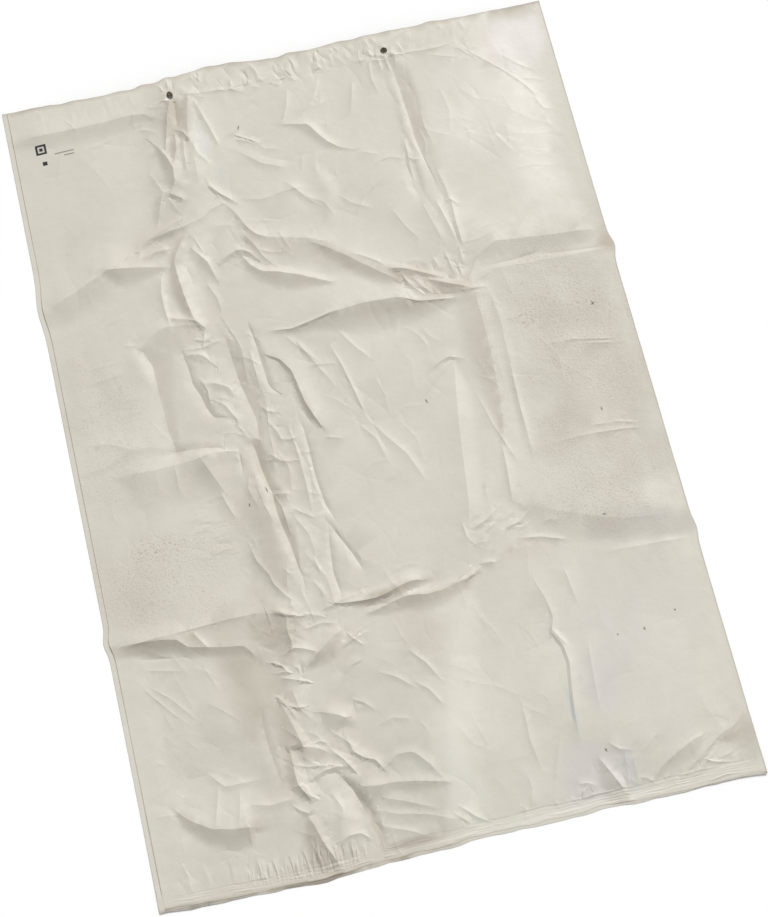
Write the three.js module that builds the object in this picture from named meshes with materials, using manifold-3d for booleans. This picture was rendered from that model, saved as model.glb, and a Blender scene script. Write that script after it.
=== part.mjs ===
// Tire storage bag: one length of side-gusseted film tube, sealed across the bottom and open at
// the mouth, lying flat on its back wall. X runs across the bag, +Y towards the mouth, +Z up.
import * as THREE from 'three';
import { mergeVertices } from 'three/addons/utils/BufferGeometryUtils.js';
import Module from 'manifold-3d';

// Driving dimensions, in millimetres
const BAG_WIDTH = 770;
const BAG_LENGTH = 1140;
const GUSSET_DEPTH = 185;
const FILM_GAUGE = 0.05;
const HEM_LENGTH = 16;
const HOLE_DIAMETER = 10;
const HOLE_SPACING = 305;
const HOLE_DROP = 33;

// How the film lies: the front folds fall inside the back ones, the layers lie closest at the side
// folds and where the seal presses them, and the slack front wall stands off the gusset leaves
const FRONT_FOLD_INSET = 7;
const LEAF_STEP = 1;
const EDGE_STEP = 0.35;
const PRESSED_STEP = 0.07;
const LOFT = 7;
const LOFT_SHOULDER = 60;
const SEAL_SHOULDER = 50;
const DEEPEST_HOLLOW = 1.2;
const CORNER_CURL = 3;
const CORNER_CURL_REACH = 110;

// Ruffles in the mouth band, between and round the punched holes
const BAND_HEIGHT = 40;
const GATHER_PITCH = 52;
const GATHER_RISE = 2;
const HOLE_PUCKER_RISE = 3.5;
const HOLE_PUCKER_REACH = 40;

// Shape of a crease: how fast it falls from its crest, what share of its height is left at its
// ends, and over what share of its length it grows to its full height
const CREST_BEND = 1.4;
const END_SHARE = 0.3;
const RUN_OUT = 0.2;

// Where the outline leaves its straight lines: [place along the edge in hundredths of its half
// length, reach, shift]. The packing folds push the side folds outwards.
const MOUTH_DRIFT = [[-60, 110, -6], [-23, 45, 5], [5, 40, -3]];
const HEM_DRIFT = [[-50, 130, -7]];
const RIGHT_DRIFT = [[31, 14, 5], [-42, 14, 3]];
const LEFT_DRIFT = [[46, 30, -4], [-38, 14, -4]];

// Stations of the front wall's mesh, closer together where the film is crumpled: [end of a run in
// hundredths of the half width or half length, cells in the run]
const COLUMN_RUNS = [[-53, 6], [-13, 12], [26, 6], [53, 6], [100, 6]];
const ROW_RUNS = [[90, 4], [62, 6], [20, 14], [-30, 8], [-55, 8], [-88, 8]];
const SEAL_ROWS = 3;
const HOLE_SIDES = 24;
const PUNCH_LENGTH = 60;
const WELD_TOLERANCE = 0.001;

const LAYERS = 4;
const FRONT_LAYER = LAYERS - 1;
const halfWidth = BAG_WIDTH / 2;
const halfLength = BAG_LENGTH / 2;
const innerFold = halfWidth - GUSSET_DEPTH;
const frontFold = halfWidth - FRONT_FOLD_INSET;
const sealLine = -halfLength + HEM_LENGTH;
const hemLap = HEM_LENGTH / 2;
const hemThickness = LAYERS * PRESSED_STEP + FILM_GAUGE;

const smooth = (low, high, value) => THREE.MathUtils.smoothstep(value, low, high);
const bump = (offset, reach) => Math.exp(-((offset / reach) ** 2));

// A crease is a hand-placed line on the front wall. Its points are in hundredths of the half
// width and half length from the wall's centre. It rises to a crest and falls away over its own
// reach on the left and on the right of someone walking along it, in millimetres.
function crease(rise, leftReach, rightReach, ...points) {
  const place = ([u, v]) => new THREE.Vector2((u / 100) * halfWidth, (v / 100) * halfLength);
  return { rise, leftReach, rightReach, path: points.map(place) };
}

const creases = [
  // Band below the mouth, and the pleats that hang from the two holes
  crease(5, 60, 34, [-103, 91], [-75, 91], [-54, 92]),
  crease(4.5, 22, 18, [-52, 86], [-46, 80], [-44, 70]),
  crease(3.5, 30, 44, [-53, 56], [-53, 70], [-54, 82]),
  crease(3, 14, 16, [-36, 81], [-34, 92]),
  crease(6, 27, 60, [46, 60], [48, 68], [48, 76], [47, 90]),
  crease(3, 24, 14, [-3, 81], [7, 79], [12, 74], [21, 70]),
  crease(3, 60, 60, [75, 52], [78, 66], [86, 82]),
  // Old packing fold across the upper half
  crease(7, 70, 36, [-103, 43], [-90, 47], [-78, 50], [-73, 51]),
  crease(6, 36, 25, [-76, 51], [-62, 51], [-54, 50]),
  crease(4, 18, 16, [-58, 57], [-50, 58], [-42, 59]),
  crease(3, 22, 14, [-29, 63], [-24, 56], [-17, 51]),
  crease(4, 14, 27, [-49, 35], [-51, 42], [-51, 50]),
  crease(4, 23, 16, [-26, 54], [-22, 50], [-16, 43]),
  crease(5, 26, 19, [-22, 43], [-10, 42], [-2, 40]),
  crease(6.5, 34, 24, [-21, 54], [-8, 52], [1, 49], [12, 43], [23, 37]),
  crease(9, 60, 34, [-4, 28], [5, 29], [16, 30], [24, 30]),
  crease(5.5, 16, 18, [23, 30], [28, 28], [40, 27]),
  crease(-4.8, 27, 20, [52, 33], [68, 33], [103, 33]),
  crease(5, 24, 44, [-69, 30], [-64, 32], [-60, 34], [-47, 33]),
  // Crumpled column beside the left gusset's inner fold
  crease(-4, 14, 26, [-67, 1], [-67, 19], [-65, 25]),
  crease(3.5, 24, 16, [-68, 19], [-70, 27], [-73, 33]),
  crease(4, 14, 30, [-16, 2], [-20, 12], [-28, 22]),
  crease(-3, 16, 14, [-35, 2], [-38, 18], [-40, 30]),
  crease(5.5, 40, 64, [-83, 0], [-73, -1], [-55, 0]),
  crease(-3.5, 15, 14, [-31, -36], [-34, -22], [-38, 3]),
  crease(5.5, 30, 22, [-45, -40], [-47, -22], [-51, -7]),
  crease(4.5, 30, 28, [-46, -73], [-46, -53], [-44, -46]),
  crease(6.5, 24, 34, [-39, -65], [-34, -66], [-27, -67]),
  crease(5, 14, 27, [-24, -98], [-27, -88], [-35, -79]),
  crease(5.5, 32, 20, [-42, -98], [-44, -93], [-49, -86]),
  // Old packing fold across the lower half
  crease(7, 120, 24, [-103, -40], [-88, -40], [-72, -40]),
  crease(8, 120, 40, [-79, -40], [-56, -39], [-44, -40], [-39, -41]),
  crease(5.5, 18, 38, [-16, -44], [-5, -44], [16, -42], [34, -41]),
  crease(6.5, 90, 40, [45, -27], [52, -29], [59, -32], [68, -34], [81, -36], [103, -36]),
  // Soft ridges and hollows of the middle and lower panels
  crease(-4.2, 14, 38, [40, 0], [40, 13], [39, 26]),
  crease(2.6, 28, 14, [29, -31], [33, -11], [37, 8]),
  crease(6.5, 70, 48, [7, -87], [11, -67], [15, -58], [25, -44]),
  crease(5.5, 38, 18, [-55, -81], [-57, -60], [-56, -51]),
  crease(4.5, 40, 40, [-68, -70], [-67, -60], [-65, -51]),
  crease(-2.2, 46, 34, [-103, -73], [-88, -73], [-75, -73]),
  crease(3, 24, 44, [-103, -80], [-95, -79], [-88, -80]),
  crease(6.5, 40, 24, [-89, -79], [-85, -82], [-78, -85], [-65, -86]),
  crease(3, 18, 18, [-26, -83], [-13, -85], [0, -88]),
  // Facets pulled up by the lower right corner
  crease(4.5, 20, 36, [90, -91], [95, -88], [103, -83]),
  crease(3, 18, 14, [72, -97], [84, -92], [94, -88]),
];

function creaseHeight({ rise, leftReach, rightReach, path }, spot) {
  let best = { distance: Infinity };
  for (let i = 0; i + 1 < path.length; i += 1) {
    const along = path[i + 1].clone().sub(path[i]);
    const offset = spot.clone().sub(path[i]);
    const share = THREE.MathUtils.clamp(offset.dot(along) / along.lengthSq(), 0, 1);
    const distance = offset.distanceTo(along.clone().multiplyScalar(share));
    if (distance < best.distance) {
      best = { distance, onLeft: along.cross(offset) > 0, travel: (i + share) / (path.length - 1) };
    }
  }
  const reach = best.onLeft ? leftReach : rightReach;
  const fall = Math.max(0, 1 - best.distance / reach);
  const grown = Math.min(best.travel, 1 - best.travel) / RUN_OUT;
  const taper = Math.min(1, END_SHARE + (1 - END_SHARE) * grown);
  return rise * taper * fall ** CREST_BEND;
}

// Relief of the slack front wall above its loft
function relief(x, y) {
  const spot = new THREE.Vector2(x, y);
  let height = 0;
  for (const line of creases) {
    height += creaseHeight(line, spot);
  }
  const inBand = smooth(halfLength - BAND_HEIGHT, halfLength, y);
  const betweenHoles = 1 - smooth(0, GATHER_PITCH, Math.abs(x) - HOLE_SPACING / 2);
  height += GATHER_RISE * inBand * betweenHoles * Math.sin((Math.PI * x) / GATHER_PITCH) ** 2;
  for (const side of [-1, 1]) {
    const fromHole = Math.hypot(x - (side * HOLE_SPACING) / 2, y - (halfLength - HOLE_DROP));
    height += HOLE_PUCKER_RISE * bump(fromHole, HOLE_PUCKER_REACH);
  }
  return Math.max(height, -DEEPEST_HOLLOW);
}

// The lower right corner has curled off the floor, with every layer of its gusset
function curl(x, y) {
  const across = Math.max(0, x - innerFold) / GUSSET_DEPTH;
  const fromHem = THREE.MathUtils.clamp((y - sealLine) / CORNER_CURL_REACH, 0, 1);
  return CORNER_CURL * across * (1 - fromHem) ** 2;
}

// Height of a layer's middle: 0 back wall, 1 lower leaf, 2 upper leaf, 3 front wall
function layerHeight(layer, x, y) {
  const slack = smooth(sealLine, sealLine + SEAL_SHOULDER, y);
  const pressed = FILM_GAUGE + layer * PRESSED_STEP;
  const toEdge = smooth(innerFold, frontFold, Math.abs(x));
  let free = FILM_GAUGE / 2 + layer * THREE.MathUtils.lerp(LEAF_STEP, EDGE_STEP, toEdge);
  if (layer === FRONT_LAYER) {
    const fromEdge = smooth(0, LOFT_SHOULDER, frontFold - Math.abs(x));
    const edgeHeight = FRONT_LAYER * EDGE_STEP;
    free = FILM_GAUGE / 2 + edgeHeight + fromEdge * (LOFT - edgeHeight + relief(x, y));
  }
  return curl(x, y) + THREE.MathUtils.lerp(pressed, free, slack);
}

// How far a point is carried by the drift of the edge nearest to it
function wander(x, y) {
  const shift = (drifts, offset, half) => drifts.reduce(
    (sum, [place, reach, amount]) => sum + amount * bump(offset - (place / 100) * half, reach),
    0,
  );
  const atMouth = smooth(halfLength - 2 * BAND_HEIGHT, halfLength, y);
  const atHem = 1 - smooth(sealLine, sealLine + SEAL_SHOULDER, y);
  const atSide = smooth(innerFold, halfWidth, Math.abs(x));
  return {
    dx: atSide * shift(x > 0 ? RIGHT_DRIFT : LEFT_DRIFT, y, halfLength),
    dy: atMouth * shift(MOUTH_DRIFT, x, halfWidth) + atHem * shift(HEM_DRIFT, x, halfWidth),
  };
}

// Places along a wall, from its start through runs that end at hundredths of a half size
function stations(start, half, runs) {
  const list = [start];
  for (const [end, cells] of runs) {
    const from = list[list.length - 1];
    for (let cell = 1; cell <= cells; cell += 1) {
      list.push(THREE.MathUtils.lerp(from, (end / 100) * half, cell / cells));
    }
  }
  return list;
}

const frontColumns = stations(-frontFold, frontFold, COLUMN_RUNS);

// The film's section as stations round the tube, from the left end of the back wall. Each layer
// runs from fold to fold, with the side of the film that faces out. A fold is the short step
// from the end of one layer to the start of the next.
function sectionStations() {
  const list = [];
  const layerRun = (layer, outZ, xs) => xs.forEach((x, i) => {
    const atFold = i === 0 || i === xs.length - 1;
    list.push({ layer, x, outX: atFold ? Math.sign(x) : 0, outZ });
  });
  layerRun(0, -1, [-halfWidth, -innerFold, innerFold, halfWidth]);
  layerRun(1, 1, [halfWidth, innerFold]);
  layerRun(2, -1, [innerFold, frontFold]);
  layerRun(FRONT_LAYER, 1, frontColumns.toReversed());
  layerRun(2, -1, [-frontFold, -innerFold]);
  layerRun(1, 1, [-innerFold, -halfWidth]);
  return list;
}

// The gusseted tube as a closed wall of film, from the mouth down into the seal
function gussetedTube() {
  const section = sectionStations();
  const rows = stations(halfLength, halfLength, ROW_RUNS);
  const lastFree = rows[rows.length - 1];
  for (let row = 1; row <= SEAL_ROWS; row += 1) {
    rows.push(THREE.MathUtils.lerp(lastFree, sealLine, row / SEAL_ROWS));
  }
  rows.push(sealLine - hemLap);
  const around = section.length;
  const vertices = [];
  for (const side of [1, -1]) {
    for (const y of rows) {
      for (const { layer, x, outX, outZ } of section) {
        const { dx, dy } = wander(x, y);
        const offset = (side * FILM_GAUGE) / 2;
        vertices.push(x + dx + outX * offset, y + dy, layerHeight(layer, x, y) + outZ * offset);
      }
    }
  }
  const outside = (row, i) => row * around + (i % around);
  const inside = (row, i) => rows.length * around + outside(row, i);
  const triangles = [];
  const quad = (a, b, c, d) => triangles.push(a, b, c, a, c, d);
  const last = rows.length - 1;
  for (let i = 0; i < around; i += 1) {
    for (let row = 0; row < last; row += 1) {
      quad(outside(row, i), outside(row, i + 1), outside(row + 1, i + 1), outside(row + 1, i));
      quad(inside(row, i), inside(row + 1, i), inside(row + 1, i + 1), inside(row, i + 1));
    }
    quad(outside(0, i), inside(0, i), inside(0, i + 1), outside(0, i + 1));
    quad(outside(last, i), outside(last, i + 1), inside(last, i + 1), inside(last, i));
  }
  const geometry = new THREE.BufferGeometry();
  geometry.setAttribute('position', new THREE.Float32BufferAttribute(vertices, 3));
  geometry.setIndex(triangles);
  return geometry;
}

// The hem below the seal, where the layers are fused into one strip
function fusedHem() {
  const columns = [-halfWidth - FILM_GAUGE, ...frontColumns, halfWidth + FILM_GAUGE];
  const cells = columns.length - 1;
  const hem = new THREE.BoxGeometry(cells, HEM_LENGTH, hemThickness, cells, 2, 1);
  hem.translate(cells / 2, sealLine - HEM_LENGTH / 2, hemThickness / 2);
  const spots = hem.attributes.position;
  for (let i = 0; i < spots.count; i += 1) {
    const x = columns[Math.round(spots.getX(i))];
    const y = spots.getY(i);
    const { dx, dy } = wander(x, y);
    spots.setXYZ(i, x + dx, y + dy, spots.getZ(i) + curl(x, y));
  }
  return hem;
}

// A punch for one hole, through every wall
function holePunch(side) {
  const radius = HOLE_DIAMETER / 2;
  const punch = new THREE.CylinderGeometry(radius, radius, PUNCH_LENGTH, HOLE_SIDES);
  punch.rotateX(Math.PI / 2);
  punch.translate((side * HOLE_SPACING) / 2, halfLength - HOLE_DROP, 0);
  return punch;
}

const wasm = await Module();
wasm.setup();

function toSolid(geometry) {
  geometry.deleteAttribute('normal');
  geometry.deleteAttribute('uv');
  const merged = mergeVertices(geometry, WELD_TOLERANCE);
  return new wasm.Manifold(new wasm.Mesh({
    numProp: 3,
    vertProperties: new Float32Array(merged.attributes.position.array),
    triVerts: new Uint32Array(merged.index.array),
  }));
}

function toGeometry(solid) {
  const { vertProperties, triVerts } = solid.getMesh();
  const geometry = new THREE.BufferGeometry();
  geometry.setAttribute('position', new THREE.BufferAttribute(vertProperties, 3));
  geometry.setIndex(new THREE.BufferAttribute(triVerts, 1));
  geometry.computeVertexNormals();
  return geometry;
}

let film = toSolid(gussetedTube()).add(toSolid(fusedHem()));
for (const side of [-1, 1]) {
  film = film.subtract(toSolid(holePunch(side)));
}

const bag = new THREE.Mesh(
  toGeometry(film),
  new THREE.MeshStandardMaterial({ color: 0xdad6cb, roughness: 0.48, metalness: 0 }),
);
bag.name = 'bag';

const model = new THREE.Group();
model.add(bag);

export default model;
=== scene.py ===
import math

import bpy
import numpy as np
from mathutils import Matrix, Vector
from mathutils.geometry import delaunay_2d_cdt


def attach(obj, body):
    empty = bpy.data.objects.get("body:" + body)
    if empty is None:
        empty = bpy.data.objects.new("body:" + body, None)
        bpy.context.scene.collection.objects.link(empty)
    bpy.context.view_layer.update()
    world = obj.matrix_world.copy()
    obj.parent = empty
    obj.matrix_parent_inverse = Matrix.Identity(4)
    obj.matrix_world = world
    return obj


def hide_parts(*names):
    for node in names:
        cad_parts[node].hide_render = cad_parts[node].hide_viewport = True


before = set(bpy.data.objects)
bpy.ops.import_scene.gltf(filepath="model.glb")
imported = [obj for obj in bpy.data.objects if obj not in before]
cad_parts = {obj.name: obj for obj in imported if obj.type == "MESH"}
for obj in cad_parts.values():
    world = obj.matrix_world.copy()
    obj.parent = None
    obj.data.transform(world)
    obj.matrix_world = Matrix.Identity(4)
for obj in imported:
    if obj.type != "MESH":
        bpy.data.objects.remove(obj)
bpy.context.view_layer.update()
bpy.context.scene.view_settings.view_transform = "Standard"

# The bag is one length of side-gusseted polyethylene tube, cut square at both ends and lying on its
# back wall. It is welded across near the bottom end and left open at the mouth, where two holes for
# the maker's hanging wires are punched through both walls. All sizes of the film are in millimetres.
MILLIMETRE = 0.001
FILM_GAUGE = 0.05
HALF_WIDTH, HALF_LENGTH = 385.0, 570.0
INNER_FOLD, FRONT_FOLD = 200.0, 378.0
SKIRT = 16.0
WELD_LINE = SKIRT - HALF_LENGTH
HOLE_RADIUS, HOLE_REACH_X, HOLE_Y = 5.0, 152.5, 537.0
# Heights of the layers over one another: at the inner folds, at the side folds and in the weld. Then how
# far the slack front wall stands off, and how far from the folds and the weld it takes to rise
LEAF_STEP, EDGE_STEP, PRESSED_STEP = 1.0, 0.35, 0.07
LOFT, LOFT_SHOULDER, WELD_SHOULDER = 7.0, 110.0, 90.0
CORNER_CURL, CURL_REACH, LEFT_CURL = 1.6, 110.0, 0.6

# Creases are told by the line of their crest, with their rise and their reach on the left and right of
# someone walking along it. Crests stand high and look nearer to the mouth than they are, so they all lie
# back a little. Creases and facets are eased to a share of their rise, and short reaches are drawn in.
CREST_LEAN = 3.5
EASE, FACET_EASE = 0.6, 0.87
DRAWN_IN = (8, 17), (0.6, 0.9)
creases = []


def fold(rise, left, right, *points):
    """A long packing fold of even height."""
    creases.append(("fold", rise, left, right, 0.0, points))


def crease(rise, left, right, *points):
    """A sharp crease that thins out to its ends. The small ones are drawn in to fine lines."""
    narrow_left, narrow_right = (reach * np.interp(reach, *DRAWN_IN) for reach in (left, right))
    creases.append(("crease", EASE * rise * narrow_right / right, narrow_left, narrow_right, 0.0, points))


def band(slope, left, soil_and_shade_share, *points):
    """A facet between a crest and a foot, on the right of someone walking along the crest, and the share of it that
    is browned, as soil and as painted shade. Each point ends with the facet's width there."""
    creases.append(("band", FACET_EASE * slope, left, 0.0, soil_and_shade_share, points))


def swell(rise, left, right, *points):
    """A rounded ridge or hollow of the slack film."""
    creases.append(("swell", rise, left, right, 0.0, points))


# Mouth band, and the pleats that fan out under the left hole
band(0.16, 60, 0.35, (-396, 522, 20), (-345, 524, 22), (-290, 522, 24), (-250, 523, 26), (-215, 525, 24),
     (-195, 524, 20), (-182, 512, 6))
crease(0.9, 5, 5, (-208, 496), (-210, 512), (-207, 528))
crease(2.2, 7, 9, (-206, 499), (-193, 496), (-181, 487))
crease(1.2, 5, 5, (-303, 544), (-294, 530), (-288, 514))
crease(1.2, 6, 5, (-282, 488), (-262, 488), (-240, 497))
crease(2.0, 8, 5, (-140, 537), (-110, 536), (-80, 533), (-55, 530))
band(0.50, 8, 0.8, (-155, 531, 4), (-163, 506, 6), (-166, 490, 6), (-174, 462, 3))
band(-0.40, 6, 0.7, (-152, 494, 3), (-150, 510, 7), (-149, 530, 6))
band(0.30, 8, 0.7, (-158, 478, 3), (-158, 462, 9), (-163, 446, 9), (-168, 432, 3))
band(0.30, 12, 0.7, (-128, 536, 8), (-134, 510, 12), (-138, 490, 12), (-141, 464, 4))
crease(3.0, 7, 10, (-101, 448), (-109, 482), (-122, 530))
crease(5.0, 10, 12, (-158, 487), (-147, 482), (-138, 464))
crease(3.0, 9, 7, (-152, 414), (-151, 445), (-147, 474))
band(0.30, 14, 0.8, (-196, 482, 2), (-186, 468, 4), (-176, 448, 12), (-170, 428, 16), (-171, 408, 14),
     (-178, 396, 3))
crease(3.0, 5, 5, (-160, 548), (-163, 558), (-166, 566))
crease(-3.0, 5, 5, (-147, 548), (-146, 558), (-145, 567))
crease(3.0, 5, 5, (-153, 550), (-152, 560), (-153, 568))
crease(5.5, 16, 9, (-194, 400), (-178, 388), (-162, 375))
crease(5.5, 14, 14, (-190, 400), (-198, 376), (-208, 348))
swell(5.5, 56, 60, (-170, 325), (-168, 400), (-170, 470), (-164, 540))
crease(6.0, 20, 14, (-243, 301), (-235, 323), (-219, 332), (-190, 344), (-166, 353))
band(0.34, 14, 0.6, (-222, 329, 2), (-205, 333, 6), (-190, 336, 12), (-176, 338, 7), (-162, 341, 2))
band(0.30, 12, 0.6, (-164, 338, 3), (-180, 318, 8), (-192, 300, 9), (-202, 276, 4))
crease(3.0, 8, 12, (-240, 303), (-220, 309), (-196, 311))
crease(4.5, 12, 9, (-166, 341), (-147, 345), (-132, 356), (-109, 363))
crease(6.0, 14, 8, (-129, 393), (-112, 373), (-92, 355))
crease(5.5, 26, 9, (-113, 363), (-100, 342), (-91, 320), (-80, 304), (-64, 296))
crease(3.5, 30, 30, (-140, 400), (-138, 440), (-128, 480))
# Upper middle panel
crease(3.2, 6, 4, (-80, 463), (-62, 451), (-44, 439))
crease(2.2, 5, 4, (-79, 454), (-66, 449), (-54, 441))
crease(3.0, 24, 12, (-80, 437), (-50, 409), (-18, 395))
crease(2.0, 14, 5, (-85, 361), (-62, 355), (-46, 358))
crease(2.2, 16, 5, (-46, 358), (-25, 361), (-2, 362))
crease(1.5, 10, 10, (-66, 456), (-40, 430), (-18, 425))
crease(3.0, 9, 7, (-9, 464), (1, 485), (9, 516))
crease(3.2, 14, 8, (8, 462), (18, 472), (33, 483), (43, 497), (54, 521))
band(0.24, 12, 0.35, (-12, 462, 3), (10, 456, 8), (24, 453, 13), (34, 436, 12), (46, 420, 10), (60, 408, 6),
     (80, 400, 2))
crease(2.5, 10, 12, (84, 450), (93, 480), (99, 506))
crease(1.8, 6, 6, (131, 476), (126, 503), (128, 534))
crease(3.5, 20, 9, (-25, 375), (-10, 356), (6, 335), (17, 326))
crease(1.8, 12, 5, (100, 372), (122, 378), (141, 371))
crease(1.5, 10, 6, (84, 397), (98, 390), (112, 384))
crease(1.8, 10, 8, (-2, 346), (20, 332), (30, 310))
crease(2.0, 12, 9, (40, 340), (56, 322), (84, 306))
crease(1.8, 9, 9, (58, 300), (78, 330), (112, 352))
swell(2.2, 24, 20, (20, 300), (30, 350), (18, 392))
# Pleat that hangs from the right hole
band(-0.11, 8, 0.5, (182, 290, 6), (176, 325, 13), (169, 360, 19), (164, 400, 23), (163, 440, 25),
     (160, 490, 24), (156, 522, 14))
crease(2.4, 10, 18, (181, 294), (176, 330), (169, 370))
crease(3.5, 12, 10, (145, 330), (148, 372), (150, 406))
crease(2.5, 7, 6, (146, 373), (155, 365), (165, 366))
swell(-2.0, 14, 14, (147, 296), (147, 340), (146, 380))
crease(3.0, 9, 8, (143, 510), (140, 540))
crease(3.0, 7, 7, (153, 508), (152, 538))
crease(2.5, 8, 8, (163, 512), (166, 532))
crease(2.5, 9, 7, (162, 553), (176, 560), (194, 570))
crease(2.5, 8, 8, (144, 554), (138, 570))
crease(2.2, 5, 5, (156, 530), (190, 531), (225, 529), (252, 533))
# Upper right panel
crease(1.5, 7, 3, (247, 537), (270, 511), (291, 491), (311, 471), (326, 453), (340, 431), (345, 412))
crease(1.1, 5, 3, (251, 527), (264, 512), (278, 497))
crease(1.5, 7, 3.5, (306, 505), (330, 481), (350, 466), (368, 452), (380, 436))
crease(1.0, 5, 4, (350, 468), (372, 486), (390, 500))
crease(1.8, 6, 6, (338, 426), (348, 404), (364, 400))
crease(1.6, 8, 6, (328, 456), (346, 453), (364, 444))
crease(0.9, 5, 3, (212, 522), (232, 514), (256, 507))
crease(0.5, 5, 4, (288, 374), (330, 366), (374, 368))
crease(0.5, 5, 4, (304, 347), (340, 338), (384, 342))
crease(0.5, 5, 4, (270, 318), (310, 322), (356, 312))
crease(1.3, 9, 9, (214, 470), (220, 430), (212, 390))
swell(3.0, 60, 60, (290, 300), (300, 380), (330, 470))
# Packing fold across the upper half, left to right
band(0.19, 70, 0.35, (-396, 252, 30), (-345, 271, 36), (-302, 289, 36), (-284, 297, 28))
band(0.26, 36, 0.6, (-290, 297, 8), (-268, 294, 26), (-245, 291, 24), (-220, 287, 10), (-208, 284, 3))
crease(4.0, 12, 16, (-240, 296), (-222, 308), (-198, 318))
band(0.40, 26, 0.9, (-196, 286, 4), (-195, 262, 16), (-193, 238, 16), (-188, 205, 12), (-184, 194, 3))
crease(5.5, 13, 10, (-220, 193), (-222, 225), (-222, 250), (-216, 277))
band(0.30, 10, 0.6, (-220, 210, 4), (-208, 205, 10), (-192, 200, 12), (-182, 194, 12), (-175, 184, 4))
crease(5.0, 14, 14, (-201, 279), (-188, 295), (-175, 314))
band(0.20, 10, 0.5, (-171, 307, 3), (-160, 291, 14), (-152, 279, 16), (-147, 260, 8), (-144, 248, 3))
band(0.36, 12, 0.6, (-138, 272, 3), (-126, 282, 7), (-108, 288, 9), (-95, 281, 7), (-83, 264, 3))
crease(3.0, 12, 10, (-160, 250), (-150, 225), (-148, 200))
crease(4.5, 20, 12, (-99, 314), (-86, 290), (-76, 268), (-61, 250))
band(0.26, 11, 0.7, (-106, 280, 3), (-97, 262, 9), (-84, 248, 14), (-62, 241, 24), (-38, 231, 24),
     (-8, 217, 10), (8, 210, 3))
band(0.08, 24, 0.6, (-92, 316, 6), (-78, 300, 36), (-40, 290, 40), (-8, 281, 34), (8, 272, 20))
band(0.25, 60, 0.8, (-12, 277, 4), (8, 264, 13), (30, 246, 17), (52, 226, 18), (74, 207, 18), (92, 193, 10))
crease(2.2, 7, 4, (40, 247), (62, 233), (84, 216))
band(0.42, 8, 0.9, (84, 212, 3), (96, 208, 14), (106, 205, 14), (116, 201, 7), (132, 193, 6), (150, 184, 3))
crease(4.2, 9, 9, (97, 202), (104, 184), (121, 163))
crease(4.2, 8, 8, (111, 196), (118, 180), (131, 163))
band(0.36, 10, 1.0, (132, 184, 3), (146, 177, 13), (158, 170, 16), (172, 165, 12), (182, 160, 3))
band(0.24, 60, 0.6, (-94, 159, 2), (-60, 155, 8), (-30, 160, 14), (0, 166, 32), (40, 169, 42), (82, 167, 44),
     (92, 164, 40), (112, 155, 28), (132, 152, 20), (158, 150, 10))
crease(4.0, 8, 6, (169, 158), (206, 157))
crease(3.2, 6, 6, (169, 182), (163, 219))
crease(3.2, 6, 6, (178, 178), (176, 202))
crease(3.2, 6, 6, (185, 174), (207, 208))
crease(2.6, 6, 6, (189, 167), (216, 177))
crease(2.6, 6, 6, (183, 198), (184, 224))
crease(2.4, 6, 6, (150, 196), (146, 216))
band(0.16, 45, 0.35, (196, 200, 3), (214, 210, 16), (232, 219, 28), (262, 215, 26), (320, 211, 22),
     (394, 207, 18))
band(0.16, 60, 0.0, (394, 177, 11), (300, 177, 11), (240, 179, 10), (205, 181, 5))
crease(-2.4, 6, 5, (212, 187), (250, 187), (284, 191))
crease(-2.4, 6, 5, (284, 187), (330, 183), (392, 179))
crease(3.5, 14, 16, (253, 213), (278, 240), (302, 264), (332, 296))
crease(2.5, 10, 8, (337, 213), (362, 232), (390, 247))
crease(2.6, 14, 12, (214, 210), (236, 232), (268, 250))
crease(4.5, 9, 12, (189, 224), (188, 260), (190, 302))
crease(3.5, 8, 8, (183, 226), (177, 262), (169, 298))
crease(2.4, 7, 5, (175, 288), (187, 297), (200, 284))
crease(1.8, 7, 6, (187, 228), (212, 228), (242, 237))
crease(2.0, 9, 8, (108, 300), (120, 270), (136, 244))
crease(1.8, 9, 8, (150, 300), (158, 262), (166, 232))
crease(5.0, 7, 5, (-92, 161), (-62, 156), (-32, 161), (4, 168))
crease(3.0, 6, 4, (88, 166), (110, 155), (134, 152), (160, 149))
# Left panel
crease(1.8, 20, 8, (-395, 140), (-345, 141), (-290, 147))
crease(0.8, 6, 4, (-384, 161), (-340, 163), (-290, 164))
swell(2.0, 24, 16, (-262, 112), (-270, 155), (-282, 190))
crease(2.5, 9, 7, (-286, 185), (-270, 181), (-261, 170))
band(0.10, 24, 0.3, (-268, 172, 4), (-246, 190, 30), (-228, 197, 44), (-205, 195, 40), (-182, 190, 10))
band(-0.13, 50, 0.6, (-247, 18, 10), (-251, 50, 15), (-253, 100, 20), (-254, 148, 32), (-264, 172, 8))
crease(2.0, 24, 20, (-376, 60), (-330, 52), (-292, 30))
# Crumpled column beside the left gusset's inner fold, upper part
band(-0.34, 16, 0.4, (-176, 52, 3), (-190, 57, 7), (-197, 75, 9), (-200, 92, 9), (-207, 108, 7),
     (-208, 130, 7), (-212, 158, 3))
band(0.18, 8, 0.4, (-206, 151, 3), (-196, 150, 14), (-186, 146, 13), (-170, 126, 3))
crease(3.0, 7, 7, (-184, 154), (-175, 185))
crease(3.0, 7, 7, (-194, 173), (-180, 166), (-164, 173))
crease(2.6, 7, 6, (-210, 160), (-184, 157), (-156, 164))
band(0.20, 10, 0.4, (-192, 106, 3), (-178, 103, 9), (-162, 95, 10), (-156, 80, 3))
crease(3.2, 9, 8, (-188, 83), (-172, 70), (-157, 40))
band(-0.20, 40, 0.5, (-137, 16, 10), (-135, 41, 16), (-140, 67, 25), (-146, 98, 28), (-149, 131, 20),
     (-152, 168, 3))
band(-0.30, 8, 0.3, (-98, 69, 3), (-109, 83, 7), (-112, 118, 7), (-114, 150, 7), (-118, 175, 3))
crease(2.2, 5, 5, (-121, 82), (-124, 142))
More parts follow.
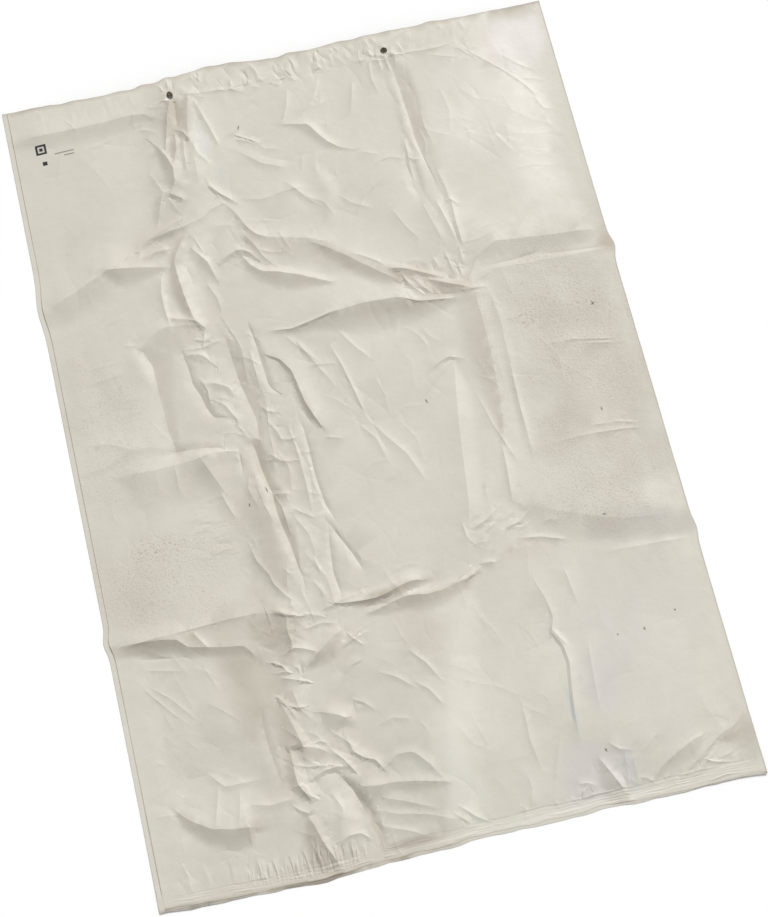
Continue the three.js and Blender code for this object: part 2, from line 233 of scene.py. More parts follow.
band(0.62, 30, 1.0, (-104, 128, 2), (-88, 118, 5), (-76, 98, 7), (-72, 75, 7), (-68, 49, 7), (-62, 31, 8),
     (-55, 13, 4))
crease(2.6, 12, 9, (-62, 142), (-46, 108), (-22, 60))
crease(2.2, 12, 9, (-74, 150), (-58, 128), (-34, 98))
crease(2.0, 14, 5, (-58, 99), (-38, 98), (-16, 95))
crease(3.2, 6, 10, (6, 12), (-1, 50), (-9, 90), (-19, 126))
crease(2.2, 10, 9, (-4, 142), (14, 112), (34, 86))
crease(3.0, 9, 7, (-128, 60), (-118, 48), (-104, 44))
crease(3.0, 8, 8, (-122, 36), (-112, 16), (-106, -4))
# Middle panel
crease(4.5, 18, 7, (102, 54), (118, 64), (131, 69), (154, 61))
crease(3.2, 12, 10, (86, 20), (108, 42), (131, 61))
band(0.07, 30, 0.8, (188, 150, 35), (188, 80, 35), (186, 30, 28), (180, -30, 16), (174, -70, 4))
fold(1.2, 10, 13, (206, -100), (208, 20), (211, 100), (208, 148))
band(0.20, 60, 0.0, (100, -172, 4), (108, -140, 16), (113, -100, 20), (118, -60, 22), (123, -20, 22),
     (130, 22, 18), (136, 54, 4))
crease(3.5, 10, 14, (164, -150), (168, -105), (171, -56))
crease(2.0, 8, 6, (155, 10), (166, -40), (185, -98))
crease(3.0, 9, 8, (206, -72), (206, -20), (208, 32))
crease(2.2, 12, 10, (-5, 2), (12, -22), (21, -64))
crease(2.4, 12, 14, (3, 14), (25, -22), (46, -52), (62, -94))
crease(1.8, 5, 3.5, (262, 57), (300, 56), (340, 48), (392, 42))
crease(1.6, 5, 3.5, (298, 50), (340, 42), (388, 36))
crease(1.9, 5, 3.5, (213, -82), (280, -81), (330, -83), (390, -89))
crease(1.5, 5, 3.5, (288, -70), (325, -71), (370, -82))
crease(5.0, 10, 9, (107, -173), (126, -166), (147, -150))
crease(3.2, 8, 7, (103, -197), (118, -182), (137, -171))
crease(2.6, 7, 7, (104, -197), (95, -184), (93, -160))
crease(4.5, 12, 8, (145, -183), (166, -178), (183, -165))
crease(3.5, 10, 7, (158, -199), (188, -204), (220, -215))
# Crumpled column, middle part
band(0.07, 44, 0.25, (-334, 4, 5), (-318, 2, 20), (-303, 1, 58), (-285, 0, 62), (-265, 1, 54), (-240, 2, 58),
     (-213, 3, 60))
band(0.07, 60, 0.3, (-390, 18, 6), (-345, 20, 10), (-322, 30, 14), (-300, 38, 20), (-275, 33, 14),
     (-248, 22, 3))
crease(2.0, 6, 9, (-254, -44), (-253, 2))
band(0.16, 24, 0.0, (-194, -56, 6), (-204, -32, 24), (-214, -8, 34), (-219, 4, 20))
crease(6.0, 10, 18, (-217, 4), (-196, 6), (-170, 2))
band(-0.22, 30, 0.5, (-186, 12, 3), (-215, 17, 9), (-247, 20, 12))
crease(-3.0, 5, 5, (-168, -29), (-167, 5))
band(-0.40, 12, 0.7, (-122, -200, 2), (-125, -175, 5), (-129, -139, 11), (-133, -118, 14), (-136, -98, 9),
     (-137, -80, 18), (-136, -67, 15), (-139, -56, 11), (-143, -28, 17), (-146, 4, 12))
crease(4.0, 9, 12, (-136, -67), (-126, -70), (-113, -73))
crease(4.5, 12, 9, (-129, -11), (-115, -26), (-94, -29))
crease(3.0, 9, 6, (-113, 7), (-97, 2), (-83, 6))
crease(-5.0, 8, 10, (-65, -120), (-73, -95), (-77, -55), (-77, -10), (-79, 30))
crease(3.5, 9, 8, (-92, -112), (-91, -60), (-93, -10), (-97, 24))
crease(-5.0, 10, 10, (-79, -224), (-83, -190), (-80, -155), (-75, -120))
crease(-5.5, 14, 9, (-44, -197), (-53, -170), (-61, -152), (-69, -134), (-78, -114))
crease(3.6, 10, 9, (-136, -222), (-148, -208), (-161, -188), (-165, -172), (-176, -152), (-181, -125))
swell(5.0, 46, 60, (-142, -222), (-146, -150), (-150, -90), (-160, -30))
crease(3.0, 8, 8, (-189, -90), (-197, -68), (-203, -44))
crease(2.4, 8, 7, (-116, -92), (-104, -102), (-87, -113))
crease(2.2, 8, 6, (-57, -4), (-42, -8), (-28, -13))
crease(3.0, 8, 8, (-138, -164), (-146, -198))
crease(2.6, 8, 8, (-112, -192), (-98, -220))
crease(2.6, 7, 7, (-104, -160), (-98, -192))
crease(2.4, 8, 8, (-158, -84), (-166, -52), (-160, -30))
# Packing fold across the lower half, left to right
band(0.10, 110, 0.5, (-398, -223, 5), (-340, -223, 10), (-300, -222, 20), (-250, -221, 32), (-215, -221, 42),
     (-188, -222, 46), (-172, -226, 20), (-150, -234, 5))
band(0.34, 30, 0.95, (-398, -222, 16), (-350, -224, 19), (-318, -228, 23), (-297, -233, 21), (-284, -246, 13),
     (-262, -251, 13), (-238, -256, 13), (-216, -259, 12), (-208, -268, 7), (-204, -277, 2))
crease(-1.6, 4, 6, (-384, -238), (-340, -247), (-290, -257))
band(0.20, 6, 0.6, (-273, -230, 8), (-268, -240, 14), (-262, -249, 8))
crease(2.0, 4, 4, (-372, -226), (-290, -224), (-228, -221), (-174, -221))
crease(5.0, 12, 8, (-170, -223), (-152, -233), (-134, -238))
crease(4.5, 12, 10, (-108, -236), (-86, -230), (-56, -224))
band(0.52, 18, 1.0, (-90, -231, 3), (-78, -234, 4), (-58, -236, 6), (-37, -237, 9), (-20, -234, 14),
     (-8, -230, 16), (6, -226, 14), (16, -224, 9), (26, -226, 2))
band(0.30, 10, 0.8, (-51, -254, 4), (-33, -250, 12), (-1, -243, 18), (12, -244, 22), (27, -247, 22),
     (48, -246, 20), (66, -241, 16), (89, -235, 8), (102, -231, 2))
crease(5.0, 7, 6, (67, -241), (93, -221))
crease(4.5, 6, 5, (77, -242), (106, -224))
band(0.22, 6, 0.5, (104, -222, 4), (112, -222, 9), (122, -223, 9), (124, -225, 2))
crease(3.0, 6, 5, (-97, -291), (-77, -283), (-56, -276))
crease(2.8, 5, 5, (-86, -270), (-77, -283), (-66, -294))
crease(3.0, 8, 10, (-150, -242), (-128, -236), (-104, -246))
crease(2.6, 8, 8, (-140, -256), (-112, -252), (-90, -258))
band(0.075, 150, 0.5, (166, -150, 4), (185, -160, 24), (205, -169, 36), (232, -180, 40), (262, -192, 36),
     (290, -202, 26))
band(0.03, 150, 0.3, (250, -192, 10), (300, -205, 36), (394, -211, 36))
fold(1.2, 8, 36, (262, -242), (302, -245), (394, -247))
crease(3.0, 6, 4, (-90, -231), (-58, -236), (-36, -237), (-10, -231))
crease(2.5, 6, 4, (-176, -224), (-152, -234), (-134, -239))
# Lower left panel
crease(1.6, 6, 3.5, (-373, -254), (-346, -290), (-322, -322), (-299, -348))
crease(1.3, 5, 3.5, (-344, -282), (-318, -306), (-288, -346))
crease(1.0, 5, 3.5, (-276, -321), (-255, -340), (-237, -358))
crease(1.8, 10, 6, (-342, -261), (-318, -268), (-296, -274))
swell(4.5, 40, 40, (-262, -398), (-258, -340), (-250, -290))
swell(5.0, 60, 40, (-208, -457), (-212, -400), (-214, -340), (-212, -280))
fold(-2.2, 46, 34, (-396, -410), (-340, -411), (-288, -412))
crease(3.0, 12, 12, (-294, -409), (-275, -432), (-230, -433))
band(0.32, 70, 0.8, (-342, -446, 3), (-326, -464, 14), (-302, -480, 21), (-278, -486, 24), (-256, -488, 22),
     (-250, -488, 8))
crease(3.0, 10, 10, (-298, -484), (-290, -455), (-283, -428))
crease(2.6, 9, 10, (-268, -484), (-262, -460), (-258, -440))
fold(3.0, 24, 44, (-396, -452), (-365, -449), (-340, -452))
crease(3.2, 12, 14, (-252, -461), (-225, -468), (-196, -466))
crease(2.4, 8, 10, (-364, -350), (-372, -372), (-340, -388))
# Crumpled column, lower part
band(0.15, 40, 0.6, (-162, -226, 28), (-155, -234, 36), (-158, -252, 36), (-155, -270, 34), (-160, -282, 24),
     (-170, -296, 8))
band(0.20, 8, 0.6, (-154, -236, 5), (-157, -252, 9), (-154, -272, 7), (-158, -282, 3))
band(0.26, 12, 0.9, (-187, -338, 3), (-182, -356, 18), (-176, -378, 26), (-171, -400, 28), (-170, -406, 6))
band(-0.16, 14, 0.6, (-206, -448, 4), (-209, -420, 9), (-212, -395, 9), (-213, -365, 8), (-211, -345, 3))
crease(3.5, 6, 5, (-162, -297), (-154, -304), (-152, -315), (-160, -321))
crease(3.0, 5, 5, (-186, -287), (-179, -294), (-170, -297))
crease(3.0, 5, 6, (-186, -305), (-172, -304), (-161, -309))
crease(3.0, 5, 5, (-160, -324), (-150, -321), (-141, -327))
crease(5.0, 10, 7, (-174, -285), (-154, -277), (-140, -281), (-122, -292))
crease(3.5, 7, 7, (-193, -287), (-176, -293), (-165, -310))
crease(-4.0, 6, 6, (-153, -321), (-150, -296))
crease(3.5, 7, 6, (-180, -311), (-160, -318), (-138, -328))
band(0.42, 16, 0.8, (-144, -306, 3), (-126, -292, 19), (-108, -279, 22), (-96, -271, 14), (-88, -266, 3))
crease(3.0, 8, 6, (-98, -291), (-80, -280), (-56, -267))
crease(2.5, 7, 7, (-91, -302), (-78, -292), (-69, -276))
crease(3.0, 12, 5, (-100, -329), (-88, -315), (-71, -311))
crease(3.0, 12, 6, (-99, -357), (-83, -366), (-69, -382))
crease(5.0, 8, 8, (-167, -371), (-179, -350), (-189, -332))
crease(4.0, 9, 6, (-185, -344), (-166, -355), (-150, -354))
band(0.20, 18, 0.4, (-138, -366, 6), (-130, -370, 22), (-118, -375, 26), (-110, -381, 26), (-107, -385, 8))
crease(3.5, 7, 7, (-162, -404), (-148, -402), (-135, -409))
crease(6.5, 16, 8, (-117, -398), (-110, -425), (-98, -436), (-86, -441), (-75, -460))
crease(6.5, 14, 9, (-172, -449), (-150, -440), (-130, -439), (-116, -445))
band(0.16, 10, 0.4, (-184, -405, 4), (-172, -405, 22), (-158, -408, 24), (-146, -414, 14), (-140, -420, 4))
crease(4.0, 10, 6, (-187, -424), (-172, -430), (-144, -436))
crease(5.5, 10, 8, (-139, -413), (-124, -432), (-111, -454))
band(0.42, 14, 0.9, (-187, -404, 5), (-187, -420, 13), (-187, -438, 14), (-186, -452, 12), (-180, -462, 10),
     (-174, -474, 3))
crease(4.0, 7, 7, (-192, -452), (-178, -454), (-176, -466), (-164, -475))
crease(4.0, 7, 7, (-201, -471), (-190, -482), (-180, -487), (-168, -477))
band(-0.50, 30, 0.9, (-103, -548, 10), (-105, -525, 11), (-111, -500, 13), (-121, -471, 12), (-131, -453, 4))
swell(4.0, 46, 30, (-150, -545), (-146, -510), (-140, -475))
crease(4.0, 12, 7, (-159, -535), (-142, -523), (-124, -522), (-110, -532), (-101, -549))
band(0.20, 14, 0.9, (-184, -488, 3), (-178, -500, 16), (-172, -520, 26), (-162, -543, 34), (-158, -552, 20))
crease(3.0, 9, 9, (-148, -470), (-138, -492), (-150, -516))
crease(4.2, 14, 14, (-82, -457), (-58, -441), (-38, -443), (-22, -462), (-6, -488))
band(0.20, 12, 0.5, (-100, -472, 18), (-90, -474, 21), (-70, -474, 12), (-40, -480, 12), (-10, -488, 8),
     (2, -492, 2))
crease(3.2, 14, 12, (-92, -487), (-60, -500), (-12, -523))
crease(3.0, 12, 14, (-103, -499), (-70, -513), (-40, -520), (2, -537))
crease(2.6, 10, 12, (-99, -519), (-70, -532), (-38, -549))
crease(2.6, 9, 8, (-60, -330), (-36, -344), (-14, -366))
crease(2.4, 9, 8, (-74, -400), (-52, -394), (-30, -402))
# Lower right panel
swell(9.0, 110, 44, (-16, -540), (-6, -480), (6, -430), (20, -380), (36, -330), (60, -288), (85, -244))
crease(3.2, 10, 8, (-15, -311), (4, -335), (19, -364))
crease(3.0, 10, 8, (-17, -354), (0, -370), (13, -394))
crease(3.8, 7, 14, (168, -476), (171, -440), (176, -405), (181, -375), (179, -352), (169, -332), (176, -312),
       (173, -288), (163, -253))
crease(3.0, 6, 6, (169, -324), (176, -340), (185, -353))
crease(2.2, 7, 7, (211, -304), (206, -252))
crease(2.2, 8, 8, (203, -442), (206, -400), (211, -350))
band(0.20, 10, 0.6, (185, -500, 2), (195, -522, 18), (205, -545, 30))
crease(3.2, 7, 7, (152, -527), (166, -530), (174, -536))
crease(3.2, 6, 6, (152, -547), (160, -536), (170, -531))
crease(3.0, 6, 6, (228, -536), (240, -541), (246, -549))
crease(3.0, 8, 6, (202, -486), (213, -497), (230, -502))
crease(1.4, 7, 6, (213, -551), (216, -526), (219, -505))
crease(1.4, 6, 8, (226, -547), (228, -505))
crease(2.5, 10, 12, (113, -500), (108, -460), (110, -413))
crease(2.2, 10, 12, (125, -517), (147, -464))
crease(3.0, 8, 6, (1, -519), (22, -540), (45, -555))
crease(2.6, 8, 6, (-8, -525), (12, -546))
crease(2.2, 8, 8, (88, -549), (96, -520), (94, -500))
# Lower right corner
band(0.16, 16, 0.5, (240, -548, 3), (262, -529, 12), (284, -517, 20), (304, -508, 22), (322, -502, 3))
crease(5.0, 12, 9, (277, -550), (308, -530), (338, -510), (366, -497))
crease(3.4, 5, 5, (312, -532), (326, -540), (345, -545))
crease(3.0, 5, 5, (332, -538), (350, -532), (362, -521))
crease(3.0, 8, 8, (297, -553), (316, -536), (335, -523))
band(0.14, 18, 0.9, (340, -516, 6), (364, -499, 40), (394, -472, 60))
crease(2.0, 10, 8, (376, -400), (384, -440), (392, -470))
# Fine gathers that the weld drew in, up and down by turns
for n in range(66):
    along = -264 + 2.5 * n + 0.8 * math.sin(5.1 * n)
    rise = (1.9 + 0.8 * math.sin(2.3 * n)) * (-1) ** n
    crease(rise, 4, 4, (along, -561), (along + 1.2 * math.sin(3.7 * n), -546),
           (along + 2.0 * math.sin(0.9 * n), -533 + 8 * math.sin(1.7 * n)))
# Lines that the welding bar pressed across the bottom, five faint long ones and many short stronger ones
BAR_TILT, BAR_LENGTH = 2.5, 790
for n in range(5):
    for rise, step in ((0.20, 0.0), (-0.18, 2.3)):
        first_y = -545.5 - 4.6 * n - step
        fold(rise, 2.3, 2.3, *((x, first_y + BAR_TILT * x / BAR_LENGTH + 0.9 * math.sin(x / 37 + 2 * n))
                               for x in range(-395, 396, 79)))
for n in range(60):
    start, length = -392 + 13.1 * n + 9 * math.sin(4.3 * n), 50 + 32 * math.sin(2.9 * n)
    rise = (1.9 + 1.1 * math.sin(1.9 * n)) * (-1) ** n
    y = -547 - 4.4 * (n % 5) + 0.9 * math.sin(7.1 * n) + BAR_TILT * start / BAR_LENGTH
    crease(rise, 4, 4, (start, y), (start + length / 2, y + math.sin(3.3 * n)), (start + length, y))


# Small wrinkles by zone: centre, half size, main direction and its spread in degrees, how many, their
# rise and length
rng = np.random.default_rng(11)
WRINKLE_ZONES = [
    ((-145, 95), (66, 80), 97, 12, 7, (1.0, 2.6), (40, 110)),
    ((-150, 95), (60, 80), 120, 50, 9, (0.8, 1.8), (16, 40)),
    ((-125, -100), (56, 110), 99, 12, 7, (1.0, 2.6), (40, 120)),
    ((-125, -100), (56, 110), 130, 50, 9, (0.8, 1.8), (16, 40)),
    ((-145, -370), (56, 100), 110, 60, 12, (0.8, 2.2), (22, 60)),
    ((-140, -480), (56, 50), 60, 70, 8, (0.8, 2.2), (20, 50)),
    ((-155, 430), (36, 85), 97, 16, 8, (0.8, 2.2), (30, 90)),
    ((-130, 290), (90, 40), 150, 60, 12, (0.8, 2.0), (20, 50)),
    ((140, 180), (58, 28), 130, 50, 16, (0.8, 2.0), (14, 40)),
    ((155, -185), (56, 30), 25, 50, 14, (0.8, 1.8), (14, 36)),
    ((-100, -238), (80, 18), 40, 60, 16, (0.8, 2.0), (12, 36)),
    ((30, 550), (150, 14), 96, 26, 70, (0.8, 3.0), (12, 34)),
    ((230, 548), (60, 14), 80, 30, 16, (0.5, 1.6), (12, 30)),
    ((-160, -541), (100, 9), 92, 13, 26, (1.2, 3.6), (14, 44)),
    ((-300, -535), (70, 16), 95, 20, 20, (0.8, 2.0), (18, 50)),
    ((-225, -95), (22, 40), 0, 12, 18, (0.6, 1.4), (14, 36)),
    ((20, 533), (205, 6), 0, 35, 50, (1.0, 2.2), (10, 30)),
    ((-290, 550), (85, 12), 92, 14, 14, (0.4, 0.9), (18, 36)),
    ((170, -546), (210, 8), 90, 40, 60, (0.6, 1.8), (8, 20)),
    ((166, 410), (20, 100), 94, 8, 14, (0.6, 1.6), (30, 90)),
    ((310, -518), (66, 26), 34, 14, 16, (0.8, 2.4), (20, 50)),
    ((205, -512), (36, 30), 80, 40, 12, (0.6, 1.6), (12, 30)),
    ((-310, -480), (66, 50), 140, 50, 12, (0.5, 1.4), (20, 60)),
    ((40, 450), (100, 90), 60, 60, 26, (0.4, 1.2), (16, 60)),
    ((300, 430), (80, 110), 130, 40, 22, (0.3, 0.9), (24, 90)),
    ((30, 60), (110, 100), 118, 24, 20, (0.4, 1.2), (30, 90)),
    ((-310, 60), (60, 180), 60, 70, 26, (0.3, 0.8), (16, 60)),
    ((-310, -330), (60, 90), 130, 30, 22, (0.3, 0.9), (20, 70)),
    ((40, -350), (90, 120), 120, 40, 18, (0.3, 0.9), (20, 70)),
    ((0, 0), (360, 530), 90, 90, 260, (0.25, 0.9), (20, 80)),
]
for (x, y), (reach_x, reach_y), turn, spread, count, (low, high), (short, long) in WRINKLE_ZONES:
    for _ in range(count):
        middle = np.array([x + reach_x * rng.uniform(-1, 1), y + reach_y * rng.uniform(-1, 1)])
        angle = math.radians(turn + spread * rng.uniform(-1, 1))
        along = np.array([math.cos(angle), math.sin(angle)]) * rng.uniform(short, long) / 2
        bow = np.array([-along[1], along[0]]) * rng.uniform(-0.3, 0.3)
        rise = rng.uniform(low, high) * rng.choice([-0.7, 1.0])
        left, right = rng.uniform(4.0, 11.0, 2)
        crease(rise, left, right, middle - along, middle + bow, middle + along)


def smooth(low, high, value):
    """Share of the way from low to high, eased at both ends."""
    share = np.clip((value - low) / (high - low), 0, 1)
    return share * share * (3 - 2 * share)


def bump(offset, reach):
    """A bell-shaped rise, 1 at its middle."""
    return np.exp(-(offset / reach) ** 2)


def spaced_path(points, step):
    """Points about a step apart on straight runs between the given ones, and how far along they are."""
    stops = np.array(points, float)
    stops[:, 1] -= CREST_LEAN
    run = np.concatenate([[0], np.cumsum(np.hypot(*np.diff(stops[:, :2], axis=0).T))])
    travel = np.linspace(0, run[-1], max(3, math.ceil(run[-1] / step) + 1))
    return np.column_stack([np.interp(travel, run, column) for column in stops.T]), travel


def thinning(travel, length, kind):
    """Share of its full height and reach that a crease has at each place, less towards its ends."""
    slow, quick = 0.34 * length, 0.14 * length + 2
    start, end = {"fold": (30.0, 30.0), "crease": (slow, quick), "crease_back": (quick, slow),
                  "swell": (0.35 * length, 0.35 * length)}[kind]
    return np.clip(np.minimum(travel / start, (length - travel) / end), 0.1, 1)


# Bends of the film: behind a facet's crest, down the facet, and down the flank of a narrow and a wide crease
BACK_BEND, FACET_BEND, NARROW_BEND, WIDE_BEND = 1.8, 1.25, 1.5, 2.0
NARROW_FLANK, WIDE_FLANK = 12, 38
SOIL_AND_SHADE_WIDTH = 8


def crease_heights(x, y, kind, rise, left, right, soil_and_shade_share, path, widths, travel):
    """The places that a crease reaches, how far it lifts the film there and how far it browns it, as soil and as
    painted shade.
    """
    widest = max(left, right, *widths)
    low, high = path.min(0) - widest, path.max(0) + widest
    near = np.flatnonzero((x > low[0]) & (x < high[0]) & (y > low[1]) & (y < high[1]))
    px, py = x[near], y[near]
    nearest, side, at = np.full(near.size, np.inf), np.zeros(near.size), np.zeros(near.size)
    for (ax, ay), (dx, dy), start, end in zip(path, np.diff(path, axis=0), travel, travel[1:]):
        share = np.clip(((px - ax) * dx + (py - ay) * dy) / (end - start) ** 2, 0, 1)
        distance = np.hypot(px - ax - share * dx, py - ay - share * dy)
        closer = distance < nearest
        nearest = np.where(closer, distance, nearest)
        side = np.where(closer, dx * (py - ay) - dy * (px - ax), side)
        at = np.where(closer, start + share * (end - start), at)
    on_left = side > 0
    if kind == "band":
        width = np.interp(at, travel, widths)
        fall = np.clip(1 - nearest / np.where(on_left, left, width), 0, 1)
        # A band's facet is browned, as soil and as painted shade, the less the narrower it is.
        soiled = np.where(on_left, 0, np.clip(2 * fall, 0, 1)) * np.clip(width / SOIL_AND_SHADE_WIDTH, 0, 1)
        return near, rise * width * np.where(on_left, fall ** BACK_BEND, fall ** FACET_BEND), soil_and_shade_share * soiled
    taper = thinning(at, travel[-1], kind)
    reach = np.where(on_left, left, right)
    fall = np.clip(1 - nearest / (np.sqrt(taper) * reach), 0, 1)
    if kind == "swell":
        return near, rise * taper * fall ** 2 * (3 - 2 * fall), 0.0
    bend = np.interp(reach, (NARROW_FLANK, WIDE_FLANK), (NARROW_BEND, WIDE_BEND))
    return near, rise * taper * fall ** bend, 0.0


# Creases become lines of vertices along their crests, with more rows of them down both flanks, the more
# the wider the flank
EDGE_MARGIN, FOOT_MARGIN = 3.0, 4.0
CREASE_STEP, FOLD_STEP = 6.0, 7.0
NARROWEST_FACET = 0.6
FACET_ROWS = 0.35, 0.7, 1.0
ROW_REACHES, ROW_SPREAD = (6, 20, 44), 1.3
laid, crest_spots, crest_joins, flank_spots = [], [], [], []


def on_film(spots):
    """Which places are clear of the front wall's edges."""
    return (np.abs(spots[:, 0]) < FRONT_FOLD - EDGE_MARGIN) & (np.abs(spots[:, 1]) < HALF_LENGTH - EDGE_MARGIN)


def add_line(line):
    """A line of vertices along which the film is sharply bent."""
    kept = on_film(line)
    number = np.cumsum(kept) - 1 + sum(len(run) for run in crest_spots)
    crest_spots.append(line[kept])
    crest_joins.extend((number[n], number[n + 1]) for n in range(len(line) - 1) if kept[n] and kept[n + 1])


def add_row(row):
    """Vertices that only follow the film's height."""
    flank_spots.append(row[on_film(row)])


for kind, rise, left, right, soil_and_shade_share, points in creases:
    if kind == "crease" and rng.random() < 0.5:
        kind = "crease_back"
    path, travel = spaced_path(points, CREASE_STEP if "crease" in kind else FOLD_STEP)
    path, widths = path[:, :2], np.clip(path[:, 2:], NARROWEST_FACET, None)
    laid.append((kind, rise, left, right, soil_and_shade_share, path, widths.ravel(), travel))
    heading = np.gradient(path, axis=0)
    across = np.column_stack([-heading[:, 1], heading[:, 0]]) / np.hypot(*heading.T)[:, None]
    if kind == "swell":
        add_row(path)
    else:
        add_line(path)
    if kind == "band":
        for share in FACET_ROWS:
            add_row(path - across * widths * share)
        add_row(path - across * (widths + FOOT_MARGIN))
        reaches, taper = [left], 1.0
    else:
        reaches, taper = [left, -right], np.sqrt(thinning(travel, travel[-1], kind)[:, None])
    for reach in reaches:
        steps = 1 + np.searchsorted(ROW_REACHES, abs(reach), side="right")
        for step in range(1, steps + 1):
            add_row(path + across * taper * reach * (step / steps) ** ROW_SPREAD)

# Between the creases the film is crumpled into small flat facets, steepest in these zones: centre, half
# size, slope
CRUMPLED = [
    ((-148, 95), (74, 110), 0.19), ((-132, -100), (66, 140), 0.17), ((-148, -300), (66, 70), 0.19),
    ((-146, -410), (66, 90), 0.20), ((-140, -500), (72, 60), 0.17), ((-160, 420), (56, 120), 0.15),
    ((-150, 275), (92, 60), 0.17), ((10, 250), (100, 60), 0.08), ((128, 180), (70, 40), 0.19),
    ((150, -185), (66, 40), 0.17), ((-60, -238), (110, 26), 0.17), ((190, -520), (60, 40), 0.14),
    ((310, -515), (70, 40), 0.11), ((-310, -470), (70, 60), 0.08), ((-300, 270), (80, 50), 0.07),
    ((-60, -470), (70, 80), 0.10), ((165, 420), (34, 120), 0.08), ((30, 480), (90, 60), 0.06),
    ((300, 440), (80, 120), 0.05), ((20, 80), (90, 90), 0.05), ((170, 40), (70, 120), 0.05),
]
CALM_SLOPE, FINE_SLOPE, SLOPE_EASE = 0.026, 0.045, 0.6
FINE_LATTICE, WIDE_LATTICE = (13.0, 24.0), (36.0, 44.0)
CLOSEST, FACET_CLEARANCE = 2.6, 5
CREST_GIVE, FLANK_GIVE, MOST_GIVE = 0.8, 3.0, 30


def crumple_slope(spots):
    """How steep the small facets are at each place."""
    slope = np.full(len(spots), CALM_SLOPE)
    for middle, half, steep in CRUMPLED:
        out = np.abs((spots - middle) / half).max(axis=1)
        slope = np.maximum(slope, SLOPE_EASE * steep * (1 - smooth(0.7, 1.15, out)))
    return slope


def scatter(step_x, step_y):
    """Places on a staggered lattice, each pushed off its place."""
    place_x, place_y = np.meshgrid(np.arange(-370, 371, step_x), np.arange(-540, 562, step_y))
    place_x[::2] += step_x / 2
    spots = np.column_stack([place_x.ravel(), place_y.ravel()])
    spots += rng.uniform(-0.42, 0.42, spots.shape) * (step_x, step_y)
    return spots[on_film(spots)]


fine_facets, wide_facets = scatter(*FINE_LATTICE), scatter(*WIDE_LATTICE)
facets = np.vstack([fine_facets[crumple_slope(fine_facets) > FINE_SLOPE],
                    wide_facets[crumple_slope(wide_facets) <= FINE_SLOPE]])

# Vertices too close to others are left out, those on the flanks before those on the crests
crest_spots = np.vstack(crest_spots)
taken = {tuple(cell) for cell in np.round(crest_spots / CLOSEST).astype(int)}
flanks = []
for spot in np.vstack(flank_spots):
    cell = tuple(np.round(spot / CLOSEST).astype(int))
    if cell not in taken:
        taken.add(cell)
        flanks.append(spot)
settled = np.vstack([crest_spots, flanks])
room = np.concatenate([np.hypot(*(part[:, None] - settled[None]).transpose(2, 0, 1)).min(1)
                       for part in np.array_split(facets, 40)])
facets, room = facets[room > FACET_CLEARANCE], room[room > FACET_CLEARANCE]
free_spots = np.vstack([settled, facets])
give = np.concatenate([np.full(len(crest_spots), CREST_GIVE), np.full(len(flanks), FLANK_GIVE),
                       np.minimum(room, MOST_GIVE)])
facet_rise = rng.uniform(-1, 1, len(free_spots)) * crumple_slope(free_spots) * give

# Where the edges leave their straight lines: shift, place along the edge and reach
MOUTH_WANDER = [(-6, -231, 110), (5, -89, 45), (-3, 19, 40), (3.5, -153, 9), (-3, -200, 10), (-2.5, 2, 11),
                (2.5, 20, 9)]
HEM_WANDER = [(-7, -193, 130)]
LEFT_WANDER = [(-4, 262, 30), (-4, -217, 14)]
RIGHT_WANDER = [(5, 177, 14), (3, -239, 14)]


def wander(along, places):
    """How far an edge leaves its straight line at each place along it."""
    return sum(shift * bump(along - middle, reach) for shift, middle, reach in places)


def outline_shift(x, y):
    """How far the film is carried by the wander of the edge nearest to it."""
    at_mouth = smooth(HALF_LENGTH - 80, HALF_LENGTH, y)
    at_hem = 1 - smooth(WELD_LINE, WELD_LINE + WELD_SHOULDER, y)
    at_side = smooth(INNER_FOLD, HALF_WIDTH, np.abs(x))
    mouth = wander(x, MOUTH_WANDER) + 0.5 * np.sin(x / 11.3) + 0.4 * np.sin(x / 5.1 + 1.4)
    hem = wander(x, HEM_WANDER) + 0.5 * np.sin(x / 12.7) + 0.4 * np.sin(x / 5.3 + 0.8)
    side = np.where(x > 0, wander(y, RIGHT_WANDER), wander(y, LEFT_WANDER))
    return at_side * side, at_mouth * mouth + at_hem * hem


def curl(x, y):
    """The lower corners have curled off the floor, the right one more."""
    lift = np.clip(1 - (np.maximum(y, WELD_LINE) - WELD_LINE) / CURL_REACH, 0, 1) ** 2
    reach = np.clip(x - INNER_FOLD, 0, None) + LEFT_CURL * np.clip(-x - INNER_FOLD, 0, None)
    return CORNER_CURL * reach / (HALF_WIDTH - INNER_FOLD) * lift


def down_skirt(y):
    """Share of the way from the weld to the bottom edge."""
    return np.clip((WELD_LINE - y) / SKIRT, 0, 1)


# Slow waves of the slack film: turns across and along, start, height
WAVES = [(0.031, 0.012, 0.4, 0.5), (-0.017, 0.027, 1.9, 0.6), (0.044, 0.036, 3.1, 0.3),
         (-0.052, 0.021, 4.4, 0.25), (0.011, -0.049, 5.2, 0.35)]
PUCKER_RISE, PUCKER_REACH = 3.5, 40
FRONT_FAN, LEAF_FAN = 0.15, 0.12


